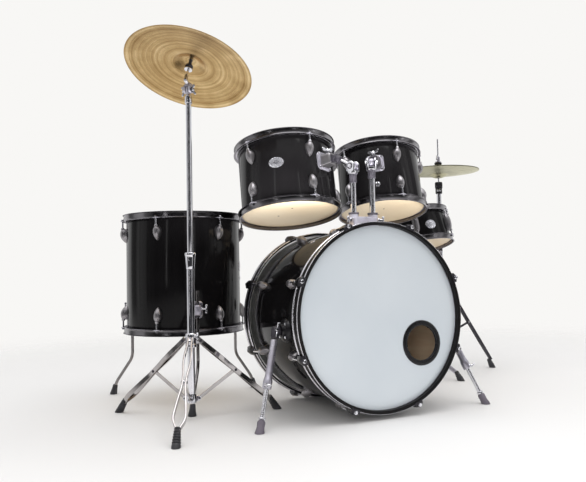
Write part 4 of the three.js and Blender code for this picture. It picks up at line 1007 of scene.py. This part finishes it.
co = Part("crash_column_v", "root", None, ["crash_column"])
co.add("chrome", along(cat(C["hubZ"] - 12), cat(C["hubZ"]), [(0, 2), (11.4, 2), (11.5, 411), (9.7, 411), (9.7, 22), (0, 20)], 40))
co.add("chrome", along(cat(C["hubZ"] - 13), cat(C["hubZ"]), [(0, 0), (13.4, 0), (15.4, 2), (15.4, 25), (14.2, 28), (11.5, 28.5), (11.5, 10), (0, 10)], 36))
for a in C["feet"]:
    for k in (-1, 1):
        X = Matrix.Translation(cat(C["hubZ"])) @ Matrix.Rotation(math.radians(a), 4, "Z") @ Matrix.Translation((0, k * 4.4, 0))
        outl = [(10, -8), (24, -8), (29, -6), (31, 0), (29, 6), (24, 8), (10, 9)]
        Mx = X @ Matrix(((1, 0, 0, 0), (0, 0, -1, 0), (0, 1, 0, 0), (0, 0, 0, 1)))
        co.add("chrome", plate(outl, 3.2, Mx, 0.6, 1))
    tv = polar(1, a + 90)
    q_ = cat(C["hubZ"]) + polar(24, a)
    co.add("dark", cyl(q_ - tv * 8.2, q_ + tv * 8.2, 3.0, 14, 0.6))
# height clamp: a sleeve that widens upwards to a bright lip, with a T bolt
co.add("chrome", along(cat(C["lockZ"]), cat(C["lockZ"] + 1), [(9.6, 0), (12.0, 0), (12.9, 1.5), (13.4, 10), (14.4, 22), (15.4, 36), (15.8, 41), (16.8, 42.5), (17.2, 45), (17.0, 49), (15.6, 51), (9.6, 51)], 40, True))
co.add("dark", along(cat(C["lockZ"] + 50.4), cat(C["lockZ"] + 60), [(9.4, 0), (13.4, 0), (13.4, 1.4), (9.4, 1.4)], 32, True))
co.done()

up = Part("crash_upper_tube_v", "crash_mast", None, ["crash_upper_tube"])
up.add("chrome", along(cat(230), cat(231), [(0, 0), (8.8, 0), (9.0, 0.4), (9.0, C["tiltZ"] - 30 - 230), (0, C["tiltZ"] - 30 - 230)], 40))
up.add("chrome", along(cat(C["tiltZ"] - 42), cat(C["tiltZ"]), [(0, 0), (10.2, 0), (11.4, 1.2), (11.6, 10), (11.0, 22), (9.8, 26), (6, 28), (0, 28)], 36))
X = Matrix.Translation(cat(C["tiltZ"] - 3)) @ Matrix.Rotation(math.radians(math.degrees(math.atan2(C["cymAxis"][1], C["cymAxis"][0]))), 4, "Z")
outl = [(-9, -14), (9, -14), (10, 6), (8.2, 11.5), (0, 14), (-8.2, 11.5), (-10, 6)]
up.add("satin", plate(outl, 5.4, X @ Matrix(((1, 0, 0, 0), (0, 0, -1, 0), (0, 1, 0, 0), (0, 0, 0, 1))), 0.8, 1))
up.done()

ax = vec(C["cymAxis"]).normalized()
cc = cat(C["cymZ"])
u = Vector((ax.x, ax.y, 0)).normalized()
sd = Vector((-u.y, u.x, 0))
T = cat(C["tiltZ"])
K = lambda k, z: T + sd * k + Vector((0, 0, z))
ti = Part("crash_tilter_v", "tilter", None, ["crash_tilter"])
for k in (-1, 1):
    Mx = Matrix(((u.x, 0, sd.x, 0), (u.y, 0, sd.y, 0), (0, 1, 0, 0), (0, 0, 0, 1))); Mx.translation = K(k * 9.6, 4)
    disc = [(11.8 * math.cos(2 * math.pi * j / 28), 11.8 * math.sin(2 * math.pi * j / 28) + (4.0 if math.sin(2 * math.pi * j / 28) > 0 else -2)) for j in range(28)]
    ti.add("satin", plate(disc, 7.4, Mx, 1.2, 1))
    ti.add("dark", along(K(k * 13.2, 0), K(k * 15, 0), [(0, 0), (8.6, 0), (8.6, 1.2), (0, 1.2)], 24))
    ti.add("chrome", wingnut(K(k * 14, 0), sd * k, (0.15 * k, 0, 1) if k < 0 else (0, 0.2, 1), 13.5, 5.2, 10))
ti.add("satin", loft([[K(0, zz) + u * xx + sd * yy for xx, yy in rrect(w, h, 5, 5)] for zz, w, h in ((12.6, 19, 26), (16, 19, 26), (20, 17, 22), (23, 14, 15), (24, 11, 11))]))
spS, spE = cc - ax * 38, cc + ax * 58
ti.add("chrome", tube(rounded([K(0, 18), spS.lerp(K(0, 18), 0.4), spS, cc - ax * 20], 12, 6), 6.0, 20))
ti.add("chrome", cyl(cc - ax * 38, spE, 3.5, 18))
for j in range(9):                                                   # thread near the top
    ti.add("chrome", along(cc + ax * (44 + j * 1.5), spE, [(3.4, 0), (3.95, 0.5), (3.4, 1.0)], 16, True))
ti.add("chrome", along(cc + ax * 1.0, spE, [(3.4, 0), (12.8, 0), (13.2, 0.8), (13.2, 2.4), (3.4, 2.4)], 28, True))
ti.add("felt", along(cc + ax * 4.0, spE, [(3.7, 0), (11, 0), (12.6, 1.5), (12.8, 6), (12.4, 11), (11.0, 13.4), (3.7, 13.6)], 32, True))
ti.add("rubber", along(cc + ax * 17, spE, [(3.6, 0), (5.2, 0), (5.2, 25), (3.6, 25)], 20, True))
ti.add("felt", along(cc + ax * 41.5, spE, [(3.7, 0), (9.6, 0.4), (10.4, 2), (10.4, 6), (9.4, 7.6), (3.7, 7.8)], 28, True))
ti.add("chrome", wingnut(cc + ax * 49, ax, sd, 15, 6, 11))
ti.done()


def cymbal_piece(name, body, M, node, R, bow, bellR, bellH, mat, bore=6.5, t=1.2, seg=160, base_M=None, X=None):
    """A lathed dish: gently bowed, a rounded bell with a soft shoulder, thin rolled rim."""
    pts = []
    n = 42
    for i in range(n + 1):
        r = R - (R - bellR * 1.10) * i / n
        x = (r - bellR) / (R - bellR)
        pts.append((r, bow * (1 - x ** 1.75)))
    bell = []
    for i in range(1, 26):
        r = bellR * 1.10 - (bellR * 1.10 - bore) * i / 25
        x = max(0.0, min(1.0, r / (bellR * 1.10)))
        bell.append((r, bow * (1 - (max(0.0, (r - bellR)) / (R - bellR)) ** 1.75) + bellH * (0.5 + 0.5 * math.cos(math.pi * min(1.0, x ** 1.55)))))
    top = pts + bell
    under = [(r, z - t) for r, z in top[::-1]]
    prof = top + under[:-1] + [(R - 0.1, -t * 0.8), (R + 0.15, -t * 0.4)]
    P = Part(name, body, base_M or M, [node])
    P.add(mat, lathe(prof, seg), X=X)
    P.done(60)
    me = PIECES[-1].data
    uv = me.uv_layers.new(name="turn")
    inv = X.inverted() if X is not None else Matrix.Identity(4)
    for f in me.polygons:
        cen = inv @ (f.center * 1000)
        a0 = math.atan2(cen.y, cen.x)
        for li in f.loop_indices:
            q = inv @ (me.vertices[me.loops[li].vertex_index].co * 1000)
            da = math.atan2(q.y, q.x) - a0
            da = (da + math.pi) % (2 * math.pi) - math.pi
            uv.data[li].uv = ((a0 + da) / (2 * math.pi) + 0.5, math.hypot(q.x, q.y) / R)
    return P


CX4 = Matrix.Translation(cc) @ Vector((0, 0, 1)).rotation_difference(ax).to_matrix().to_4x4()
cymbal_piece("crash_cymbal_v", "cymbal", layout_matrix(), "crash_cymbal", C["cymR"], 20, 56, 18.6, "crash", X=CX4)

# ------------------------------------------------------------------ hi-hat
H = HAT
ht = lambda z: Vector((H["x"], H["y"], z))
d, n = polar(1, H["pedal"]), polar(1, H["pedal"] + 90)
pd = lambda r, z, k=0: Vector((H["x"], H["y"], z)) + d * r + n * k
hs = Part("hihat_stand_v", "root", None, ["hihat_stand"], floor=True)
hs.add("chrome", along(ht(110), ht(111), [(4.8, 0), (10.6, 0), (11, 1), (11, 330), (10.4, 332), (10.4, 690), (4.8, 690)], 36, True))
hs.add("dark", along(ht(H["pinZ"] - 23), ht(H["pinZ"]), [(11, 0), (18.4, 0), (19.4, 1.4), (19.4, 43), (18.2, 45), (11, 45)], 36, True))
hs.add("dark", along(ht(430), ht(431), [(10.6, 0), (15, 0), (16, 2), (16.6, 30), (16, 33), (10.6, 33)], 32, True))
hs.add("chrome", tbolt(ht(446) + polar(15, -120), polar(1, -120), (0, 0, 1), 16, 28, 3.4))
# clamp under the lower cymbal, tilt screw and felt seat
hs.add("claw", along(ht(790), ht(791), [(4.8, 0), (11.5, 0), (14.5, 1.5), (15, 5), (15, 24), (16.6, 27), (17.0, 30), (17.0, 36), (4.8, 36)], 32, True))
hs.add("felt", along(ht(826), ht(827), [(4.8, 0), (15.6, 0), (16.8, 1.5), (16.8, 12), (15.0, 17.4), (4.8, 18.4)], 32, True))
for a_ in (-150, -105):
    p_ = ht(806) + polar(14, a_)
    hs.add("claw", cyl(ht(806), p_, 5.6, 16)); hs.add("chrome", hexhead(p_, polar(1, a_), 4.4, 6))
for a in H["feet"]:
    p = lambda r, z: Vector((H["x"], H["y"], 0)) + polar(r, a, z)
    tv = polar(1, a + 90)
    for k in (-1, 1):
        path = [p(16, H["pinZ"]) + tv * k * 5, p(40, 355) + tv * k * 6.5, p(110, 230) + tv * k * 7.5, p(180, 110) + tv * k * 7.5, p(212, 56) + tv * k * 5, p(224, 36) + tv * k * 2.2]
        hs.add("dark", sweep(rounded(path, 16, 4), [(-1.8, -6), (1.8, -6), (2.2, -5), (2.2, 5), (1.8, 6), (-1.8, 6), (-2.2, 5), (-2.2, -5)], tv))
    hs.add("dark", sweep([ht(150) + polar(12, a), p(122, 208)], [(-1.6, -4.5), (1.6, -4.5), (1.6, 4.5), (-1.6, 4.5)], tv))
    hs.add("chrome", cyl(p(122, 208) - tv * 11, p(122, 208) + tv * 11, 3.4, 14))
    dd = (p(H["footR"] + 8, -18) - p(H["footR"] - 16, 36)).normalized()
    q_ = p(H["footR"] - 17, 39)
    hs.add("rubber", along(q_, q_ + dd, [(0, 0), (7.8, 0), (8.6, 2), (9.2, 6), (8.6, 8), (10.2, 11), (9.4, 14), (11.4, 18), (10.4, 21), (12.4, 26), (12.8, 32), (12.8, 62), (0, 62)], 26))
hs.add("dark", along(ht(138), ht(139), [(11.2, 0), (17, 0), (18, 2), (18, 24), (17, 26), (11.2, 26)], 32, True))
# pedal base: plate, posts with crossbar, heel
Mp = Matrix((d, n, Vector((0, 0, 1)))).transposed().to_4x4(); Mp.translation = pd(165, 3)
hs.add("dark", plate(rrect(334, 74, 14, 6), 5.6, Mp, 1.0, 1))
for k in (-1, 1):
    hs.add("chrome", cyl(pd(0, 4, k * 30), pd(0, 112, k * 30), 5.2, 20))
    hs.add("dark", cyl(pd(0, 5, k * 30), pd(0, 18, k * 30), 9, 24, 1.5))
    Mk = Matrix((d, n, Vector((0, 0, 1)))).transposed().to_4x4(); Mk.translation = pd(318, 18, k * 30)
    hs.add("satin", rbox((18, 5, 30), Mk, 2.0, 2))
hs.add("satin", sweep([pd(0, 112, -38), pd(0, 112, 0), pd(0, 112, 38)], [(-9, -7), (-7, -9), (7, -9), (9, -7), (9, 7), (7, 9), (-7, 9), (-9, 7)], d))
hs.done()
cymbal_piece("hihat_bottom_v", "root", layout_matrix((H["x"], H["y"], H["rimZ"] - 2.2), Matrix.Rotation(math.pi, 3, "X")), "hihat_bottom_cymbal", H["r"], 13, 46, 15.8, "hat")
cymbal_piece("hihat_top_v", "hat_rod", layout_matrix((H["x"], H["y"], H["rimZ"] + 1.6)), "hihat_top_cymbal", H["r"], 13, 46, 15.8, "hat")
zt_ = H["rimZ"] + 1.6 + 29
hr = Part("hihat_rod_v", "hat_rod", None, ["hihat_pull_rod"])
hr.add("chrome", cyl(ht(66), ht(H["topZ"]), 3.2, 18))
hr.add("felt", along(ht(zt_ + 0.5), ht(zt_ + 20), [(3.4, 0), (14.6, 0), (16.2, 1.5), (16.6, 5), (15.8, 8.4), (14, 9.6), (3.4, 9.8)], 32, True))
hr.add("satin", along(ht(zt_ + 10), ht(zt_ + 30), [(3.4, 0), (12.4, 0), (12.8, 1), (12.8, 4), (9, 5.2), (8.4, 8), (8.4, 22), (7.6, 25.5), (3.4, 26)], 28, True))
hr.add("chrome", wingnut(ht(zt_ + 24) + Vector((-7, -5, 0)), (-0.8, -0.6, 0), (0, 0, 1), 14, 4.6, 10))
hr.add("felt", along(ht(zt_ - 10.4), ht(zt_), [(3.4, 0), (11, 0.4), (12, 2), (12, 6.5), (3.4, 7.6)], 28, True))
hr.add("satin", along(ht(zt_ - 18), ht(zt_), [(3.4, 0), (9.6, 0), (10.6, 1), (10.6, 6), (3.4, 7)], 24, True))
Ms = Matrix((d, n, Vector((0, 0, 1)))).transposed().to_4x4(); Ms.translation = ht(66)
hr.add("satin", rbox((20, 15, 9), Ms, 2, 2))
hr.done()
fb = Part("hihat_footboard_v", "hat_pedal", None, ["hihat_footboard"])


def footboard(P, a, b, side, wide, thick, narrow=0.86):
    a, b, side = vec(a), vec(b), vec(side).normalized()
    t = (b - a).normalized()
    up_ = side.cross(t)
    if up_.z < 0:
        up_ = -up_
    L_ = (b - a).length
    outl = []
    w = wide / 2
    pts = [(-L_ / 2, -w), (L_ / 2 - 22, -w * narrow), (L_ / 2 - 6, -w * narrow * 0.72), (L_ / 2, -w * 0.3), (L_ / 2, w * 0.3), (L_ / 2 - 6, w * narrow * 0.72), (L_ / 2 - 22, w * narrow), (-L_ / 2, w)]
    M = Matrix((t, side if side.cross(up_).dot(t) > 0 else -side, up_)).transposed().to_4x4()
    M.translation = (a + b) / 2
    P.add("satin", plate(pts, thick, M, 1.0, 1))
    rows = int(L_ // 26)
    for i in range(rows):
        x_ = -L_ / 2 + 24 + i * (L_ - 60) / max(1, rows - 1)
        P.add("dark", plate([(x_ + xx, yy) for xx, yy in rrect(8, wide * 0.66, 3.8, 4)], 1.6, M @ Matrix.Translation((0, 0, thick / 2 + 0.4)), 0.5, 1))
    return M


footboard(fb, pd(300, 27), pd(26, 50), n, 66, 6)
fb.add("chrome", cyl(pd(308, 26, -26), pd(308, 26, 26), 5.6, 20))
fb.add("satin", sweep([pd(300, 27), pd(311, 26)], [(-22, -3), (22, -3), (22, 3), (-22, 3)], n))
fb.done()

# ------------------------------------------------------------------ bass drum pedal
Q = PEDAL
pf = Part("pedal_frame_v", "root", None, ["pedal_frame"])
Mb = Matrix.Translation((0, 605, 3))
pf.add("dark", plate(rrect(98, 252, 16, 6), 5.8, Mb, 1.0, 1))
pf.add("rubber", plate(rrect(60, 150, 10, 5), 1.6, Matrix.Translation((0, 640, 6.4)), 0.5, 1))
for s in (-1, 1):
    rings = []
    for z_, w_, dd_ in ((0.4, 17, 46), (10, 16, 40), (40, 14, 26), (110, 13, 22), (150, 14, 24), (172, 15, 27), (180, 13, 22)):
        rings.append([Vector((s * 43 + xx, Q["axleY"] + yy, z_)) for xx, yy in rrect(w_, dd_, 4, 4)])
    pf.add("satin", loft(rings))
    pf.add("dark", along((s * 50.4, Q["axleY"], Q["axleZ"]), (s * 60, Q["axleY"], Q["axleZ"]), [(0, 0), (10, 0), (10, 1.5), (7, 3), (0, 3.2)], 24))
    pf.add("satin", rbox((8, 26, 32), Matrix.Translation((s * 40, Q["heelY"] + 2, 18)), 2.5, 2))
pf.add("satin", rbox((100, 26, 13), Matrix.Translation((0, Q["axleY"], 6.8)), 2.5, 2))
pf.add("dark", rbox((62, 36, 26), Matrix.Translation((0, 466, 13.2)), 4, 2))
pf.add("dark", rbox((60, 60, 6.4), Matrix.Translation((0, 482, 3.4)), 1.5, 1))
pf.add("chrome", tbolt((0, 466, 26), (0, 0, 1), (1, 0, 0), 13, 26, 3.4))
pf.done()
bd = Part("pedal_footboard_v", "kick_board", None, ["pedal_footboard"])
footboard(bd, (0, Q["heelY"] - 4, Q["heelZ"] + 1), (0, Q["toeY"] + 8, Q["toeZ"]), (1, 0, 0), 72, 6)
bd.add("chrome", cyl((-36, Q["heelY"], Q["heelZ"]), (36, Q["heelY"], Q["heelZ"]), 5.6, 20))
bd.add("satin", sweep([(0, Q["heelY"] + 2, Q["heelZ"]), (0, Q["heelY"] - 10, Q["heelZ"] + 3)], [(-26, -3), (26, -3), (26, 3), (-26, 3)], (1, 0, 0)))
bd.done()
bt = Part("pedal_beater_v", "beater", None, ["pedal_beater"])
L0, aa = 165, math.radians(40)
dirb = Vector((0, math.sin(aa), math.cos(aa)))
axl = Vector((0, Q["axleY"], Q["axleZ"]))
tip, far = axl + dirb * L0, axl + dirb * (L0 + 20)
bt.add("chrome", cyl(axl - Vector((48, 0, 0)), axl + Vector((48, 0, 0)), 5.6, 20))
bt.add("satin", along(axl - Vector((13, 0, 0)), axl, [(0, 0), (20, 0), (21, 1.2), (21, 4), (19, 5.4), (19, 20.6), (21, 22), (21, 24.8), (20, 26), (0, 26)], 40))
bt.add("chrome", cyl(axl, far, 3.9, 18))
hxv = Vector((0, math.cos(aa), -math.sin(aa)))
bt.add("felt", along(tip + hxv * 22, tip - hxv * 22, [(0, 0), (18, 0), (22, 1.6), (24, 6), (24, 38), (22, 42.4), (18, 44), (0, 44)], 40))
bt.add("chrome", along(tip + dirb * 23.6, far, [(0, 0), (6.4, 0), (6.4, 3), (4.4, 4.4), (0, 4.4)], 6))
bt.done()

# ------------------------------------------------------------------ CAD materials for whatever still shows
for nm, ob in frame["nodes"].items():
    o_ = bpy.data.objects.get(ob) if isinstance(ob, str) else ob
    if o_ is not None and getattr(o_, "type", "") == "MESH" and not o_.hide_render:
        o_.data.materials.clear(); o_.data.materials.append(MAT["satin"])
        print("CAD node still showing:", nm)

# ------------------------------------------------------------------ floor, world and lights
fl = bpy.data.meshes.new("floor")
ring_n = 96
vsf = [(0, 0, 0)] + [(9 * math.cos(2 * math.pi * i / ring_n), 9 * math.sin(2 * math.pi * i / ring_n), 0) for i in range(ring_n)]
fl.from_pydata(vsf, [], [(0, 1 + i, 1 + (i + 1) % ring_n) for i in range(ring_n)])
flo = bpy.data.objects.new("floor", fl)
scene.collection.objects.link(flo)
flo.location = (0, 0, -0.0006)
mf = bpy.data.materials.new("pale_floor"); mf.use_nodes = True
N, L = mf.node_tree.nodes, mf.node_tree.links
pb = N["Principled BSDF"]
tc = N.new("ShaderNodeTexCoord")
no = N.new("ShaderNodeTexNoise"); no.inputs["Scale"].default_value = 1.3; no.inputs["Detail"].default_value = 4.0
L.new(tc.outputs["Object"], no.inputs["Vector"])
rp = N.new("ShaderNodeValToRGB")
rp.color_ramp.elements[0].color, rp.color_ramp.elements[1].color = (0.80, 0.79, 0.785, 1), (0.83, 0.822, 0.815, 1)
L.new(no.outputs["Fac"], rp.inputs["Fac"]); L.new(rp.outputs["Color"], pb.inputs["Base Color"])
pb.inputs["Roughness"].default_value = 0.6
pb.inputs["Specular IOR Level"].default_value = 0.2
ln = N.new("ShaderNodeVectorMath"); ln.operation = "LENGTH"
L.new(tc.outputs["Object"], ln.inputs[0])
fr = N.new("ShaderNodeMapRange"); fr.interpolation_type = "SMOOTHERSTEP"
fr.inputs["From Min"].default_value, fr.inputs["From Max"].default_value = 0.9, 3.4
L.new(ln.outputs["Value"], fr.inputs["Value"])
tr = N.new("ShaderNodeBsdfTransparent")
ms = N.new("ShaderNodeMixShader")
L.new(fr.outputs["Result"], ms.inputs[0]); L.new(pb.outputs[0], ms.inputs[1]); L.new(tr.outputs[0], ms.inputs[2])
L.new(ms.outputs[0], N["Material Output"].inputs["Surface"])
fl.materials.append(mf)

w = bpy.data.worlds.new("studio"); scene.world = w
w.use_nodes = True
N, L = w.node_tree.nodes, w.node_tree.links
bg = N["Background"]
bg.inputs["Color"].default_value = srgb(248, 247, 245)
bg.inputs["Strength"].default_value = 1.0
lp = N.new("ShaderNodeLightPath")
bg2 = N.new("ShaderNodeBackground")
gtc = N.new("ShaderNodeTexCoord")
sepw = N.new("ShaderNodeSeparateXYZ"); L.new(gtc.outputs["Generated"], sepw.inputs[0])
# a white studio behind and overhead, a dark room in front, with soft upright breaks between
FRONT = Vector((-0.42, -0.9075, 0.0))
flat = N.new("ShaderNodeVectorMath"); flat.operation = "MULTIPLY"; flat.inputs[1].default_value = (1, 1, 0)
L.new(gtc.outputs["Generated"], flat.inputs[0])
nrm = N.new("ShaderNodeVectorMath"); nrm.operation = "NORMALIZE"
L.new(flat.outputs[0], nrm.inputs[0])
dv = N.new("ShaderNodeVectorMath"); dv.operation = "DOT_PRODUCT"; dv.inputs[1].default_value = FRONT
L.new(nrm.outputs[0], dv.inputs[0])
my = N.new("ShaderNodeMapRange"); my.inputs["From Min"].default_value, my.inputs["From Max"].default_value = -1.0, 1.0
L.new(dv.outputs["Value"], my.inputs["Value"])
ry = N.new("ShaderNodeValToRGB"); ry.color_ramp.interpolation = "EASE"
el = ry.color_ramp.elements
el[0].position, el[0].color = 0.0, (1.1, 1.1, 1.1, 1)
el[1].position, el[1].color = 1.0, (0.05, 0.05, 0.055, 1)
for pos, v in ((0.50, 1.0), (0.66, 0.85), (0.76, 0.16), (0.88, 0.05)):
    q_ = el.new(pos); q_.color = (v, v, v, 1)
L.new(my.outputs["Result"], ry.inputs["Fac"])
at2 = N.new("ShaderNodeMath"); at2.operation = "ARCTAN2"
sx = N.new("ShaderNodeSeparateXYZ"); L.new(nrm.outputs[0], sx.inputs[0])
L.new(sx.outputs[1], at2.inputs[0]); L.new(sx.outputs[0], at2.inputs[1])
n1 = N.new("ShaderNodeTexNoise"); n1.noise_dimensions = "1D"; n1.inputs["Scale"].default_value = 2.3; n1.inputs["Detail"].default_value = 3.0
L.new(at2.outputs[0], n1.inputs["W"])
r1 = N.new("ShaderNodeValToRGB")
r1.color_ramp.elements[0].position, r1.color_ramp.elements[0].color = 0.43, (0.22, 0.22, 0.22, 1)
r1.color_ramp.elements[1].position, r1.color_ramp.elements[1].color = 0.52, (1.0, 1.0, 1.0, 1)
L.new(n1.outputs["Fac"], r1.inputs["Fac"])
mw = N.new("ShaderNodeMix"); mw.data_type = "RGBA"; mw.blend_type = "MULTIPLY"; mw.inputs[0].default_value = 1.0
L.new(ry.outputs["Color"], mw.inputs[6]); L.new(r1.outputs["Color"], mw.inputs[7])
me_ = N.new("ShaderNodeMapRange"); me_.interpolation_type = "SMOOTHSTEP"
me_.inputs["From Min"].default_value, me_.inputs["From Max"].default_value = 0.50, 0.72
L.new(sepw.outputs[2], me_.inputs["Value"])
mu = N.new("ShaderNodeMix"); mu.data_type = "RGBA"; mu.inputs[7].default_value = (1.05, 1.05, 1.05, 1)
L.new(me_.outputs["Result"], mu.inputs[0]); L.new(mw.outputs[2], mu.inputs[6])
L.new(mu.outputs[2], bg2.inputs["Color"])
bg2.inputs["Strength"].default_value = 1.0
mixw = N.new("ShaderNodeMixShader")
L.new(lp.outputs["Is Camera Ray"], mixw.inputs[0]); L.new(bg2.outputs[0], mixw.inputs[1]); L.new(bg.outputs[0], mixw.inputs[2])
L.new(mixw.outputs[0], N["World Output"].inputs["Surface"])


def area(name, loc, target, size, size_y, power, col=(1, 1, 1)):
    la = bpy.data.lights.new(name, "AREA")
    la.shape = "RECTANGLE"; la.size, la.size_y, la.energy, la.color = size, size_y, power, col
    lo = bpy.data.objects.new(name, la)
    scene.collection.objects.link(lo)
    lo.location = loc
    lo.rotation_mode = "QUATERNION"
    lo.rotation_quaternion = (Vector(target) - Vector(loc)).to_track_quat("-Z", "Y")
    lo.visible_camera = False
    return lo


area("key_top", (-0.3, -0.6, 3.4), (0, 0, 0.3), 2.6, 2.2, 45)
fill = area("fill_front", (-1.9, -3.4, 1.5), (0, 0, 0.5), 2.4, 1.8, 30); fill.visible_glossy = False
low = area("fill_low", (-0.9, -2.6, 0.25), (0, 0.1, 0.75), 2.2, 0.4, 13); low.visible_glossy = False
under = area("fill_under", (-0.25, -0.52, 0.62), (-0.23, -0.43, 1.1), 1.3, 0.3, 19); under.visible_glossy = False
area("strip_a", (-2.9, -1.9, 1.2), (0, 0, 0.6), 0.10, 2.2, 2.6)
area("strip_b", (-0.2, -3.6, 1.3), (0, 0, 0.6), 0.12, 2.2, 2.6)
area("strip_c", (2.3, -2.2, 1.2), (0, 0, 0.6), 0.14, 2.2, 3.0)
